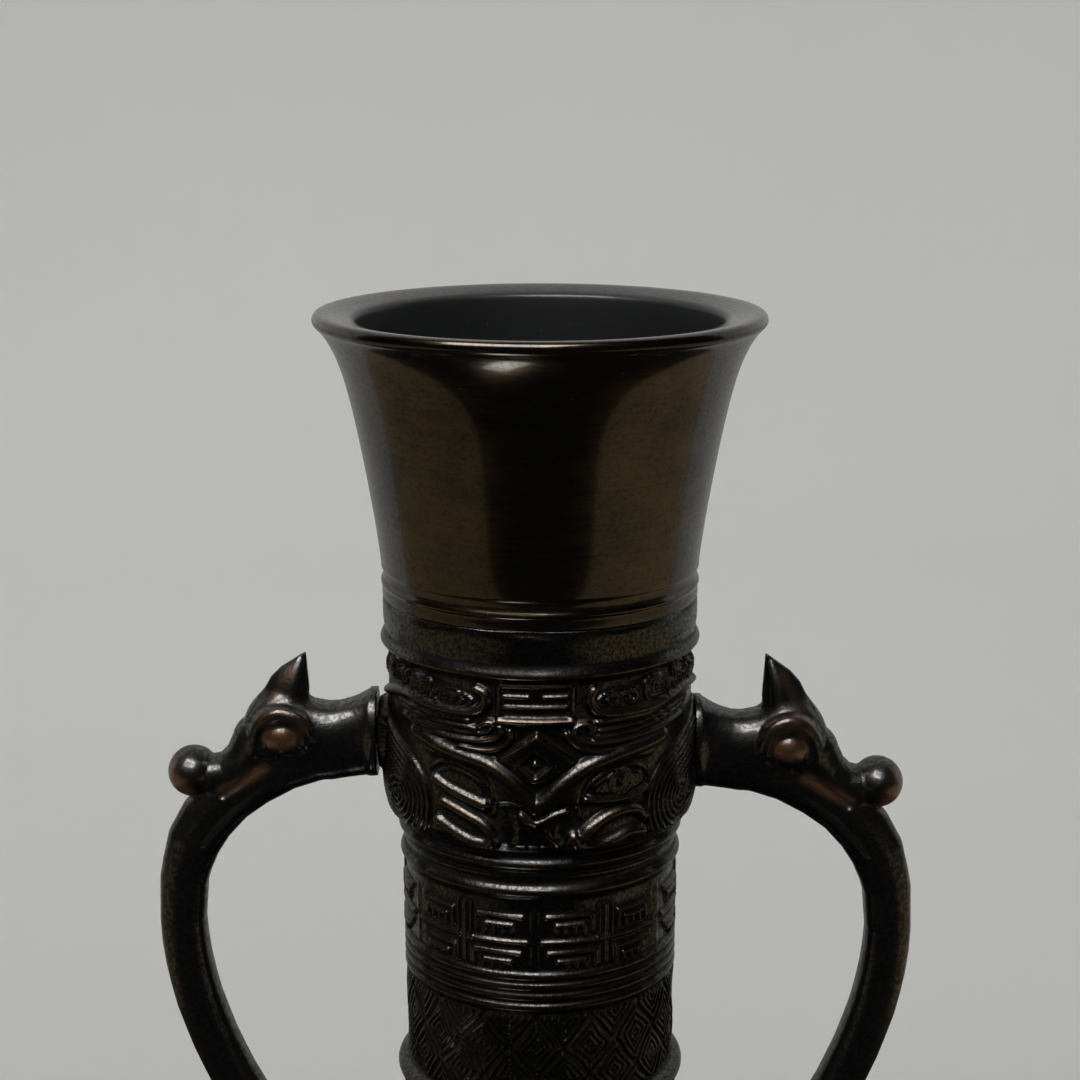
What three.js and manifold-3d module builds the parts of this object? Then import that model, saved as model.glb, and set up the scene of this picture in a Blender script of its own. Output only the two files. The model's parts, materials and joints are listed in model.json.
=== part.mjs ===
// Bronze vase in an archaic style: a polished trumpet mouth socketed into a cast neck and body,
// bands of relief round the neck, and two loop handles cast as beast heads.
// Millimetres, +Z up. The vase stands on Z = 0 with its axis on Z, its front faces -Y and the
// handles lie along X.
import * as THREE from 'three';
import { mergeVertices } from 'three/addons/utils/BufferGeometryUtils.js';
import Module from 'manifold-3d';

// Heights of the stretches of the vase, from the floor up
const FOOT_EDGE_HEIGHT = 4.5;
const FOOT_FLARE_HEIGHT = 16;
const BELLY_RISE = 52;
const SHOULDER_RISE = 84;
const NECK_RING_HEIGHT = 3.5;
const LOZENGE_BAND_HEIGHT = 22.5;
const FINE_RING_PITCH = 2.3;
const FRET_BAND_HEIGHT = 14;
const COLLAR_RING_PITCH = 5.75;
const MASK_BAND_HEIGHT = 37.6;
const PLAIN_BAND_HEIGHT = 8.3;
const POLISHED_BAND_HEIGHT = 3.4;
const COVE_HEIGHT = 3.2;
const TRUMPET_HEIGHT = 50.3;

// Radii of the outside
const FOOT_RADIUS = 46;
const WAIST_RADIUS = 37.5;
const BELLY_RADIUS = 58;
const NECK_RADIUS = 28.9;
const NECK_RING_RADIUS = 31;
const FRET_RADIUS = 29.1;
const MASK_RADIUS = 31.9;
const MASK_CHIN_RADIUS = 32.4;
const PLAIN_RADIUS = 32.75;
const THROAT_RADIUS = 32.9;
const MOUTH_RADIUS = 46;

// Walls, edges and mouldings
const WALL = 2.6;
const FOOT_CHAMFER = 0.8;
const FOOT_LAND = 5;
const LIP_WIDTH = 8.4;
const LIP_RISE = 1.8;
const LIP_THICKNESS = 3.4;
const COVE_DEPTH = 0.35;
const LEDGE_HEIGHT = 3.4;
const LEDGE_PROUD = 0.3;
const FINE_RING_COUNT = 4;
const FINE_RING_PROUD = 0.5;
const COLLAR_RING_COUNT = 2;
const COLLAR_RING_PROUD = 0.9;

// Joint between the turned mouth and the neck
const SPIGOT_LENGTH = 9;
const SPIGOT_WALL = 1.5;
const SEAL_BEAD_RADIUS = 1.2;

// Closing plate under the belly
const BASE_OPENING_RADIUS = 29;
const BASE_SHELF_THICKNESS = 3;
const BASE_SHELF_WIDTH = 5;
const BASE_PLATE_THICKNESS = 2.5;
const BASE_FILLET = 1.6;
const BASE_RECESS = 15;

// Raised forms of the mask on each face; across is measured round the wall, down from the band's top
const MASK_TURN = -1.7;
const PANEL_WIDTH = 15.2;
const PANEL_HEIGHT = 9.2;
const PANEL_DROP = 1.0;
const PANEL_PROUD = 0.7;
const PANEL_BAR_HEIGHT = 0.9;
const PANEL_BAR_PITCH = 2.25;
const JEWEL_DROP = 18.5;
const JEWEL_SIZE = 4;
const BOSS_TURN = 57.5;
const BOSS_DROP = 29.6;
const BOSS_RADIUS = 10.5;
const BOSS_PROUD = 0.9;
const EYE_ACROSS = 16;
const EYE_DROP = 23.8;
const EYE_LENGTH = 12;
const EYE_HEIGHT = 5.6;
const EYE_PROUD = 0.7;
const RIDGE_RADIUS = 0.8;
const RIDGE_PROUD = 0.3;

// Ridges of one half of the mask, across and down from the band's top, as shares of the band's height
const BROW_RIDGE = [[0.657, 0.415], [0.426, 0.481], [0.274, 0.516], [0.138, 0.612], [0.011, 0.739]];
const CHEEK_RIDGE = [[0.559, 0.779], [0.4, 0.806], [0.266, 0.862], [0.266, 0.92], [0.4, 0.928], [0.559, 0.88]];

// The same mask, larger and flatter, on the belly
const BELLY_BAND_TOP = 101;
const BELLY_MASK_STRETCH = 1.49;
const BELLY_RIDGE_RADIUS = 1.1;
const BELLY_RIDGE_SUNK = 0.4;
const BELLY_JEWEL_PROUD = 0.7;

// Hanging blades round the shoulder; points across and down are shares of half the pitch and of the length
const BLADE_COUNT = 12;
const BLADE_TOP_DROP = 4.5;
const BLADE_LENGTH = 44;
const BLADE_EDGE = [[0.85, 0.03], [0.785, 0.32], [0.605, 0.66], [0.4, 0.86], [0.2, 0.95], [0, 0.985]];
const BLADE_SPINE = [[0, 0.12], [0, 0.5], [0, 0.88]];

// Loop handles: the left casting sits a little higher and further out than the right one
const HANDLE_REACH = 75.95;
const HANDLE_OFFSET = 0.9;
const HANDLE_STAGGER = 1.2;
const UPPER_ROOT_RISE = 13.8;
const LOWER_ROOT_DROP = 28.5;
const STRAP_THICKNESS = 9.9;
const STRAP_WIDTH = 9.6;
const ROOT_HEIGHT = 16.4;
const ROOT_DEPTH = 13.6;
const PAD_PROUD = 1.1;
const PAD_RADIUS = 6.4;
const BOSS_CLEAR = 1.0;
const LOWER_PAD_RADIUS = 4.8;
const HEAD_LENGTH = 38;
const NOSE_RADIUS = 5.7;
const NOSE_STRETCH = 1.06;
const NOSE_OUT = 39.3;
const NOSE_DROP = 8.7;
const EYEBALL_RADIUS = 2.3;
const EYEBALL_OUT = 20.4;
const EYEBALL_UP = 0.6;
const CREST_HEIGHT = 17.5;
const CREST_THICKNESS = 7;
const CREST_TIP_THICKNESS = 1.6;

// Tenons through the wall, each peened over a washer inside
const TENON_RADIUS = 3;
const RIVET_HEAD_RADIUS = 4.4;
const RIVET_HEAD_HEIGHT = 1.8;
const WASHER_RADIUS = 5.6;
const WASHER_EDGE = 1.2;
const SOLDER_WIDTH = 1.5;
const SOLDER_HEIGHT = 1.0;

// Clearance between neighbouring pieces, and how finely round forms are stepped
const GAP = 0.3;
const ROUND_STEPS = 36;
const PIN_STEPS = 16;

// Levels worked out from the heights
const Z_WAIST = FOOT_EDGE_HEIGHT + FOOT_FLARE_HEIGHT;
const Z_BELLY = Z_WAIST + BELLY_RISE;
const Z_SHOULDER = Z_BELLY + SHOULDER_RISE;
const Z_LOZENGE = Z_SHOULDER + NECK_RING_HEIGHT;
const Z_FINE_RINGS = Z_LOZENGE + LOZENGE_BAND_HEIGHT;
const Z_FRET = Z_FINE_RINGS + FINE_RING_COUNT * FINE_RING_PITCH;
const Z_COLLAR = Z_FRET + FRET_BAND_HEIGHT;
const Z_MASK = Z_COLLAR + COLLAR_RING_COUNT * COLLAR_RING_PITCH;
const Z_PLAIN = Z_MASK + MASK_BAND_HEIGHT;
const Z_SEAM = Z_PLAIN + PLAIN_BAND_HEIGHT;
const Z_COVE = Z_SEAM + POLISHED_BAND_HEIGHT;
const Z_TRUMPET = Z_COVE + COVE_HEIGHT;
const Z_RIM = Z_TRUMPET + TRUMPET_HEIGHT;

// Inside radii that follow from the outside and the wall
const NECK_BORE = NECK_RADIUS - WALL;
const MASK_BORE = MASK_RADIUS - WALL;
const SOCKET_RADIUS = MASK_BORE + SPIGOT_WALL + GAP;
const SOCKET_FLOOR = Z_SEAM - SPIGOT_LENGTH - GAP;
const POCKET_RADIUS = BASE_OPENING_RADIUS + BASE_SHELF_WIDTH;
const Z_SHELF = Z_WAIST + BASE_SHELF_THICKNESS;
const PLATE_RADIUS = POCKET_RADIUS - GAP;
const PLATE_TOP = Z_WAIST - GAP;
const PLATE_BOTTOM = PLATE_TOP - BASE_PLATE_THICKNESS;

// Where the handles meet the vase
const Z_UPPER_ROOT = Z_MASK + UPPER_ROOT_RISE;
const Z_LOWER_ROOT = Z_SHOULDER - LOWER_ROOT_DROP;
const SIDES = [
  { name: 'left', turn: Math.PI, out: HANDLE_OFFSET, up: HANDLE_STAGGER },
  { name: 'right', turn: 0, out: -HANDLE_OFFSET, up: -HANDLE_STAGGER },
];

// A closed solid is a Manifold made from three.js geometry with its shared vertices merged
const wasm = await Module();
wasm.setup();

function signedVolume(positions, index) {
  let volume = 0;
  const corner = [0, 1, 2].map(() => new THREE.Vector3());
  for (let i = 0; i < index.length; i += 3) {
    corner.forEach((point, k) => point.fromArray(positions, 3 * index[i + k]));
    volume += corner[0].dot(corner[1].cross(corner[2])) / 6;
  }
  return volume;
}

function solidOf(geometry) {
  const bare = new THREE.BufferGeometry();
  bare.setAttribute('position', geometry.getAttribute('position').clone());
  if (geometry.index) bare.setIndex(geometry.index.clone());
  const merged = mergeVertices(bare, 1e-4);
  const vertProperties = Float32Array.from(merged.getAttribute('position').array);
  const triVerts = Uint32Array.from(merged.index.array);
  if (signedVolume(vertProperties, triVerts) < 0) {
    for (let i = 0; i < triVerts.length; i += 3) {
      [triVerts[i], triVerts[i + 1]] = [triVerts[i + 1], triVerts[i]];
    }
  }
  return new wasm.Manifold(new wasm.Mesh({ numProp: 3, vertProperties, triVerts }));
}

function geometryOf(solid) {
  const mesh = solid.getMesh();
  const geometry = new THREE.BufferGeometry();
  geometry.setAttribute('position', new THREE.BufferAttribute(new Float32Array(mesh.vertProperties), 3));
  geometry.setIndex(new THREE.BufferAttribute(new Uint32Array(mesh.triVerts), 1));
  geometry.computeVertexNormals();
  return geometry;
}

function joined(solids) {
  return solids.reduce((whole, solid) => whole.add(solid));
}

// Shapes turned about Z, pins along X, and curves sampled into profile points
function turned(points, steps = ROUND_STEPS) {
  const profile = points.map(([radius, height]) => new THREE.Vector2(radius, height));
  return solidOf(new THREE.LatheGeometry([...profile, profile[0]], steps).rotateX(Math.PI / 2));
}

function pinAlongX(radius, from, to, z, steps = PIN_STEPS) {
  const pin = new THREE.CylinderGeometry(radius, radius, to - from, steps).rotateZ(Math.PI / 2);
  return solidOf(pin.translate((from + to) / 2, 0, z));
}

function easeCurve([r0, z0], [r1, z1], hold0, hold1) {
  const rise = z1 - z0;
  return new THREE.CubicBezierCurve(
    new THREE.Vector2(r0, z0),
    new THREE.Vector2(r0, z0 + hold0 * rise),
    new THREE.Vector2(r1, z1 - hold1 * rise),
    new THREE.Vector2(r1, z1),
  );
}

function sampled(curve, count) {
  return curve.getPoints(count).map((point) => [point.x, point.y]);
}

function insetSampled(curve, count, inset) {
  return Array.from({ length: count + 1 }, (_, i) => {
    const point = curve.getPoint(i / count);
    const along = curve.getTangent(i / count);
    return [point.x - inset * along.y, point.y + inset * along.x];
  });
}

function radiusAt(points, z) {
  const sorted = [...points].sort((a, b) => a[1] - b[1]);
  const above = sorted.findIndex((point) => point[1] >= z);
  const [r1, z1] = sorted[Math.max(above, 1)];
  const [r0, z0] = sorted[Math.max(above, 1) - 1];
  return r0 + ((r1 - r0) * (z - z0)) / (z1 - z0);
}

// The three long curves of the body
const FOOT_CURVE = easeCurve([FOOT_RADIUS, FOOT_EDGE_HEIGHT], [WAIST_RADIUS, Z_WAIST], 0.1, 0.45);
const BELLY_CURVE = easeCurve([WAIST_RADIUS, Z_WAIST], [BELLY_RADIUS, Z_BELLY], 0.32, 0.5);
const SHOULDER_CURVE = easeCurve([BELLY_RADIUS, Z_BELLY], [NECK_RADIUS, Z_SHOULDER], 0.42, 0.34);
const SHOULDER_INSIDE = insetSampled(SHOULDER_CURVE, 7, WALL);
const BELLY_INSIDE = insetSampled(BELLY_CURVE, 5, WALL).filter(([, z]) => z > Z_SHELF + WALL);

function ringProfile(baseZ, pitch, count, groundRadius, proud) {
  const points = [];
  for (let i = 0; i < count; i += 1) {
    const start = baseZ + i * pitch;
    points.push([groundRadius, start + 0.12 * pitch]);
    points.push([groundRadius + proud, start + 0.42 * pitch]);
    points.push([groundRadius + proud, start + 0.62 * pitch]);
    points.push([groundRadius, start + 0.92 * pitch]);
  }
  return points;
}

function fineRings() {
  const points = [];
  for (let i = 0; i < FINE_RING_COUNT; i += 1) {
    points.push([NECK_RADIUS, Z_FINE_RINGS + i * FINE_RING_PITCH]);
    points.push([NECK_RADIUS + FINE_RING_PROUD, Z_FINE_RINGS + (i + 0.5) * FINE_RING_PITCH]);
  }
  return points;
}

function maskBand() {
  const chinHeight = MASK_BAND_HEIGHT * 0.19;
  return [
    [NECK_RADIUS + WALL / 2, Z_MASK],
    [(NECK_RADIUS + MASK_CHIN_RADIUS) / 2 + WALL / 4, Z_MASK + chinHeight / 3],
    [MASK_CHIN_RADIUS, Z_MASK + chinHeight],
    [MASK_RADIUS, Z_MASK + 2 * chinHeight],
    [MASK_RADIUS, Z_PLAIN - LEDGE_HEIGHT - LEDGE_PROUD],
    [PLAIN_RADIUS + LEDGE_PROUD, Z_PLAIN - LEDGE_HEIGHT],
    [PLAIN_RADIUS + LEDGE_PROUD, Z_PLAIN - LEDGE_PROUD],
    [PLAIN_RADIUS, Z_PLAIN],
  ];
}

function outsideProfile() {
  return [
    [FOOT_RADIUS - FOOT_CHAMFER, 0],
    [FOOT_RADIUS, FOOT_CHAMFER],
    ...sampled(FOOT_CURVE, 5),
    ...sampled(BELLY_CURVE, 7).slice(1),
    ...sampled(SHOULDER_CURVE, 9).slice(1),
    [NECK_RING_RADIUS, Z_SHOULDER + NECK_RING_HEIGHT * 0.3],
    [NECK_RING_RADIUS, Z_SHOULDER + NECK_RING_HEIGHT * 0.7],
    [NECK_RADIUS, Z_LOZENGE],
    ...fineRings(),
    [FRET_RADIUS, Z_FRET],
    [FRET_RADIUS, Z_COLLAR],
    ...ringProfile(Z_COLLAR, COLLAR_RING_PITCH, COLLAR_RING_COUNT, NECK_RADIUS, COLLAR_RING_PROUD),
    ...maskBand(),
    [PLAIN_RADIUS, Z_SEAM - GAP],
  ];
}

function insideProfile() {
  return [
    [SOCKET_RADIUS, Z_SEAM - GAP],
    [SOCKET_RADIUS, SOCKET_FLOOR],
    [MASK_BORE, SOCKET_FLOOR],
    [MASK_BORE, Z_MASK + UPPER_ROOT_RISE / 3],
    [NECK_BORE, Z_MASK - UPPER_ROOT_RISE / 6],
    ...[...SHOULDER_INSIDE].reverse(),
    ...[...BELLY_INSIDE].reverse().slice(1),
    [BASE_OPENING_RADIUS, Z_SHELF],
    [BASE_OPENING_RADIUS, Z_WAIST],
    [POCKET_RADIUS, Z_WAIST],
    [POCKET_RADIUS, BASE_RECESS],
    [FOOT_RADIUS - FOOT_LAND, FOOT_EDGE_HEIGHT],
    [FOOT_RADIUS - FOOT_LAND, 0],
  ];
}

// The mask: forms that stand on the wall, repeated on the front and the back
function onWall(geometry, across, z, radius) {
  return geometry
    .rotateX(Math.PI / 2)
    .translate(0, -radius, z)
    .rotateZ(across / radius);
}

function bentBlock(width, height, proud, across, z) {
  const depth = WALL / 2 + proud;
  const block = new THREE.BoxGeometry(width, height, depth, Math.max(1, Math.round(width / 5)), 1, 1);
  const position = block.getAttribute('position');
  for (let i = 0; i < position.count; i += 1) {
    const angle = (position.getX(i) + across) / MASK_RADIUS;
    const radius = MASK_RADIUS + proud - depth / 2 + position.getZ(i);
    position.setXYZ(i, radius * Math.sin(angle), -radius * Math.cos(angle), z + position.getY(i));
  }
  return solidOf(block);
}

function trigramPanel() {
  const middle = Z_PLAIN - PANEL_DROP - PANEL_HEIGHT / 2;
  const barWidth = PANEL_WIDTH - 4 * PANEL_BAR_HEIGHT;
  const edge = (PANEL_HEIGHT - PANEL_BAR_HEIGHT) / 2;
  const side = (PANEL_WIDTH - PANEL_BAR_HEIGHT) / 2;
  const pieces = [edge, PANEL_BAR_PITCH, -PANEL_BAR_PITCH, -edge].map((rise) => {
    const width = Math.abs(rise) === edge ? PANEL_WIDTH : barWidth;
    return bentBlock(width, PANEL_BAR_HEIGHT, PANEL_PROUD, 0, middle + rise);
  });
  for (const way of [-1, 1]) {
    pieces.push(bentBlock(PANEL_BAR_HEIGHT, PANEL_HEIGHT, PANEL_PROUD, way * side, middle));
    pieces.push(bentBlock(barWidth * 0.42, PANEL_BAR_HEIGHT, PANEL_PROUD, way * barWidth * 0.29, middle));
  }
  return pieces;
}

function jewel() {
  const depth = WALL / 2 + PANEL_PROUD;
  const rhomb = new THREE.CylinderGeometry(JEWEL_SIZE * 0.55, JEWEL_SIZE, depth, 4).rotateX(Math.PI / 2);
  return solidOf(onWall(rhomb, 0, Z_PLAIN - JEWEL_DROP, MASK_RADIUS));
}

function dome(across, z, width, height, proud) {
  const ball = new THREE.SphereGeometry(1, 10, 6).scale(width / 2, height / 2, proud + WALL / 4);
  return solidOf(onWall(ball, across, z, MASK_RADIUS - WALL / 4));
}

function ridgeThrough(places, steps, thickness = RIDGE_RADIUS) {
  const section = new THREE.Shape(
    Array.from({ length: 5 }, (_, i) => {
      const angle = (2 * Math.PI * i) / 5;
      return new THREE.Vector2(thickness * Math.cos(angle), thickness * Math.sin(angle));
    }),
  );
  const path = new THREE.CatmullRomCurve3(places.map(({ angle, radius, z }, i) => {
    const sunk = i === 0 || i === places.length - 1 ? thickness : 0;
    return new THREE.Vector3((radius - sunk) * Math.sin(angle), (sunk - radius) * Math.cos(angle), z);
  }));
  return solidOf(new THREE.ExtrudeGeometry(section, { steps, bevelEnabled: false, extrudePath: path }));
}

function ridge(points) {
  const places = points.map(([across, down]) => (
    { angle: across / MASK_RADIUS, radius: MASK_RADIUS + RIDGE_PROUD, z: Z_PLAIN - down }));
  return ridgeThrough(places, points.length + 3);
}

function maskFace() {
  const forms = [...trigramPanel(), jewel()];
  for (const way of [-1, 1]) {
    const side = (shares) => ridge(shares.map(([across, down]) => (
      [way * across * MASK_BAND_HEIGHT, down * MASK_BAND_HEIGHT])));
    forms.push(dome(way * EYE_ACROSS, Z_PLAIN - EYE_DROP, EYE_LENGTH, EYE_HEIGHT, EYE_PROUD));
    forms.push(dome(way * THREE.MathUtils.degToRad(BOSS_TURN) * MASK_RADIUS, Z_PLAIN - BOSS_DROP,
      2 * BOSS_RADIUS, 2 * BOSS_RADIUS, BOSS_PROUD));
    forms.push(side(BROW_RIDGE), side(CHEEK_RIDGE));
  }
  return joined(forms);
}

// The belly's mask: brows, jewel and bosses on the curved wall
function bellyFace() {
  const wall = [...sampled(BELLY_CURVE, 7), ...sampled(SHOULDER_CURVE, 9).slice(1)];
  const height = (down) => BELLY_BAND_TOP - down * BELLY_MASK_STRETCH;
  const line = (way, shares) => ridgeThrough(shares.map(([across, down]) => {
    const z = height(down * MASK_BAND_HEIGHT);
    const angle = (way * across * MASK_BAND_HEIGHT) / MASK_RADIUS;
    return { angle, radius: radiusAt(wall, z) - BELLY_RIDGE_SUNK, z };
  }), shares.length, BELLY_RIDGE_RADIUS);
  const z = height(JEWEL_DROP);
  const depth = WALL / 2 + BELLY_JEWEL_PROUD;
  const rhomb = new THREE.CylinderGeometry(JEWEL_SIZE, JEWEL_SIZE * BELLY_MASK_STRETCH * 1.2, depth, 4);
  const forms = [solidOf(onWall(rhomb.rotateX(Math.PI / 2), 0, z, radiusAt(wall, z)))];
  for (const way of [-1, 1]) {
    forms.push(line(way, BROW_RIDGE));
    const boss = BOSS_RADIUS * BELLY_MASK_STRETCH;
    const bossHeight = height(BOSS_DROP);
    const wallRadius = radiusAt(wall, bossHeight) - WALL / 2;
    const ball = new THREE.SphereGeometry(1, 8, 4).scale(boss, boss, BELLY_JEWEL_PROUD + WALL / 2);
    const turnedAcross = way * THREE.MathUtils.degToRad(BOSS_TURN) * wallRadius;
    forms.push(solidOf(onWall(ball, turnedAcross, bossHeight, wallRadius)));
  }
  return joined(forms);
}

// The blades: an outline and a spine each, but no spine under the handles' lower roots
function bladeRow() {
  const wall = sampled(SHOULDER_CURVE, 9);
  const line = (middle, shares, steps) => ridgeThrough(shares.map(([across, down]) => {
    const z = Z_SHOULDER - BLADE_TOP_DROP - down * BLADE_LENGTH;
    return { angle: middle + (across * Math.PI) / BLADE_COUNT, radius: radiusAt(wall, z), z };
  }), steps);
  const otherEdge = BLADE_EDGE.slice(0, -1).reverse().map(([across, down]) => [-across, down]);
  return joined(Array.from({ length: BLADE_COUNT }, (_, i) => {
    const middle = (2 * Math.PI * i) / BLADE_COUNT;
    const outline = line(middle, [...BLADE_EDGE, ...otherEdge], 7);
    return i % (BLADE_COUNT / 2) === BLADE_COUNT / 4 ? outline : outline.add(line(middle, BLADE_SPINE, 1));
  }));
}

function bothFaces(face) {
  const front = face.rotate([0, 0, MASK_TURN]);
  return front.add(front.rotate([0, 0, 180]));
}

// Pads and tenon holes on the vase, washers and solder inside it
function padFace() {
  return MASK_RADIUS + PAD_PROUD;
}

function lowerPadFace() {
  return radiusAt(sampled(SHOULDER_CURVE, 20), Z_LOWER_ROOT - LOWER_PAD_RADIUS - HANDLE_STAGGER) + BOSS_CLEAR
    + HANDLE_OFFSET;
}

function insideRadiusAt(z) {
  return z > Z_SHOULDER ? MASK_BORE : radiusAt(SHOULDER_INSIDE, z);
}

function roots(side) {
  return [
    { name: 'upper', z: Z_UPPER_ROOT + side.up, face: padFace() + side.out, padRadius: PAD_RADIUS },
    { name: 'lower', z: Z_LOWER_ROOT + side.up, face: lowerPadFace() + side.out, padRadius: LOWER_PAD_RADIUS },
  ];
}

function washerSeat(root) {
  const inner = insideRadiusAt(root.z + WASHER_RADIUS) - GAP;
  return Math.sqrt(inner ** 2 - WASHER_RADIUS ** 2) - WASHER_EDGE;
}

function turnedToSide(solid, side) {
  return solid.rotate([0, 0, THREE.MathUtils.radToDeg(side.turn)]);
}

function cavity(inset) {
  const shoulder = SHOULDER_INSIDE.map(([radius, z]) => [radius - inset, z]);
  return turned([
    [0, Z_BELLY + inset],
    ...shoulder,
    [NECK_BORE - inset, Z_MASK - UPPER_ROOT_RISE / 6],
    [MASK_BORE - inset, Z_MASK + UPPER_ROOT_RISE / 3],
    [MASK_BORE - inset, SOCKET_FLOOR - inset],
    [0, SOCKET_FLOOR - inset],
  ]);
}

function washer(root) {
  const disc = pinAlongX(WASHER_RADIUS, washerSeat(root), root.face, root.z);
  const hole = pinAlongX(TENON_RADIUS + GAP, 0, root.face + GAP, root.z);
  return disc.intersect(cavity(GAP)).subtract(hole);
}

function solderSeal(root) {
  const innerRadius = WASHER_RADIUS + GAP;
  const ring = pinAlongX(innerRadius + SOLDER_WIDTH, NECK_BORE / 2, root.face, root.z);
  const hole = pinAlongX(innerRadius, 0, root.face + GAP, root.z);
  return ring.subtract(hole).intersect(cavity(GAP).subtract(cavity(GAP + SOLDER_HEIGHT)));
}

function vaseBody() {
  const inside = cavity(0);
  let body = turned([...outsideProfile(), ...insideProfile()]).add(bothFaces(maskFace()));
  body = body.add(bothFaces(bellyFace())).add(bladeRow());
  for (const side of SIDES) {
    for (const root of roots(side)) {
      const pad = pinAlongX(root.padRadius, NECK_BORE / 2, root.face, root.z);
      const hole = pinAlongX(TENON_RADIUS + GAP, 0, root.face + GAP, root.z);
      body = body.add(turnedToSide(pad, side).subtract(inside)).subtract(turnedToSide(hole, side));
    }
  }
  return body;
}

// The turned mouth: a thick lip, a trumpet that thins into the throat, and a spigot below the seam
function flare(depth) {
  const share = depth / TRUMPET_HEIGHT;
  return THROAT_RADIUS
    + (MOUTH_RADIUS - THROAT_RADIUS) * (0.66 * (1 - share) ** 1.5 + 0.34 * Math.exp(-14 * share));
}

function mouthProfile() {
  const opening = MOUTH_RADIUS - LIP_WIDTH;
  const outside = [0.96, 0.86, 0.72, 0.58, 0.44, 0.32, 0.21, 0.12, 0.055, 0.02].map((share) => {
    const depth = share * TRUMPET_HEIGHT;
    return [flare(depth), Z_RIM - depth];
  });
  const inside = [0.1, 0.3, 0.52, 0.76, 1].map((share) => {
    const depth = share * TRUMPET_HEIGHT;
    return [Math.min(flare(depth) - WALL, opening), Z_RIM - depth];
  });
  return [
    [MASK_BORE, Z_SEAM - SPIGOT_LENGTH],
    [MASK_BORE + SPIGOT_WALL, Z_SEAM - SPIGOT_LENGTH],
    [MASK_BORE + SPIGOT_WALL, Z_SEAM],
    [PLAIN_RADIUS, Z_SEAM],
    [PLAIN_RADIUS, Z_COVE],
    [PLAIN_RADIUS - COVE_DEPTH, Z_COVE + COVE_DEPTH],
    [PLAIN_RADIUS - COVE_DEPTH, Z_TRUMPET - COVE_DEPTH],
    ...outside,
    [MOUTH_RADIUS, Z_RIM],
    [MOUTH_RADIUS - LIP_RISE / 4, Z_RIM + LIP_RISE * 0.6],
    [MOUTH_RADIUS - LIP_WIDTH * 0.35, Z_RIM + LIP_RISE],
    [MOUTH_RADIUS - LIP_WIDTH * 0.8, Z_RIM + LIP_RISE * 0.4],
    [opening, Z_RIM - LIP_RISE / 4],
    [opening - LIP_RISE / 4, Z_RIM - LIP_THICKNESS],
    ...inside,
    [MASK_BORE, Z_SEAM],
  ];
}

function sealBead() {
  const points = Array.from({ length: 5 }, (_, i) => {
    const angle = Math.PI / 2 + (Math.PI * i) / 4;
    return [
      MASK_BORE - GAP + SEAL_BEAD_RADIUS * Math.cos(angle),
      SOCKET_FLOOR + SEAL_BEAD_RADIUS * Math.sin(angle),
    ];
  });
  return turned(points);
}

function basePlate() {
  return turned([[0, PLATE_BOTTOM], [PLATE_RADIUS, PLATE_BOTTOM], [PLATE_RADIUS, PLATE_TOP], [0, PLATE_TOP]]);
}

function baseFillet() {
  const top = PLATE_BOTTOM - GAP;
  return turned([[PLATE_RADIUS, top], [PLATE_RADIUS - BASE_FILLET, top], [PLATE_RADIUS, top - BASE_FILLET]]);
}

// One handle, in its own frame: X outward and Z up from the middle of its upper root
function loft(stations, sides = 14) {
  const positions = [];
  const index = [];
  for (const { centre, across, along, halfAcross, halfDepth } of stations) {
    for (let k = 0; k < sides; k += 1) {
      const angle = (2 * Math.PI * k) / sides;
      const point = centre.clone()
        .addScaledVector(across, halfAcross * Math.cos(angle))
        .addScaledVector(along, halfDepth * Math.sin(angle));
      positions.push(point.x, point.y, point.z);
    }
  }
  const last = (stations.length - 1) * sides;
  for (let i = 0; i < last; i += sides) {
    for (let k = 0; k < sides; k += 1) {
      const next = (k + 1) % sides;
      index.push(i + k, i + next, i + sides + k, i + next, i + sides + next, i + sides + k);
    }
  }
  for (let k = 1; k < sides - 1; k += 1) {
    index.push(0, k + 1, k);
    index.push(last, last + k, last + k + 1);
  }
  const geometry = new THREE.BufferGeometry();
  geometry.setAttribute('position', new THREE.Float32BufferAttribute(positions, 3));
  geometry.setIndex(index);
  return solidOf(geometry);
}

const DEPTH_AXIS = new THREE.Vector3(0, 1, 0);

// Out is a share of the head's length, up and half height of the root's height, half depth of its depth
const HEAD_STATIONS = [
  { out: 0, up: 0, halfHeight: 0.5, halfDepth: 0.5 },
  { out: 0.058, up: -0.018, halfHeight: 0.482, halfDepth: 0.5 },
  { out: 0.184, up: -0.079, halfHeight: 0.463, halfDepth: 0.47 },
  { out: 0.316, up: -0.073, halfHeight: 0.512, halfDepth: 0.5 },
  { out: 0.434, up: -0.079, halfHeight: 0.585, halfDepth: 0.559 },
  { out: 0.553, up: -0.122, halfHeight: 0.573, halfDepth: 0.574 },
  { out: 0.658, up: -0.195, halfHeight: 0.451, halfDepth: 0.515 },
  { out: 0.763, up: -0.305, halfHeight: 0.317, halfDepth: 0.412 },
  { out: 0.868, up: -0.463, halfHeight: 0.256, halfDepth: 0.338 },
  { out: 1, up: -0.53, halfHeight: 0.244, halfDepth: 0.324 },
];

function headLoft() {
  return loft(HEAD_STATIONS.map(({ out, up, halfHeight, halfDepth }) => ({
    centre: new THREE.Vector3(out * HEAD_LENGTH, 0, up * ROOT_HEIGHT),
    across: new THREE.Vector3(0, 0, 1),
    along: DEPTH_AXIS,
    halfAcross: halfHeight * ROOT_HEIGHT,
    halfDepth: halfDepth * ROOT_DEPTH,
  })));
}

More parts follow.
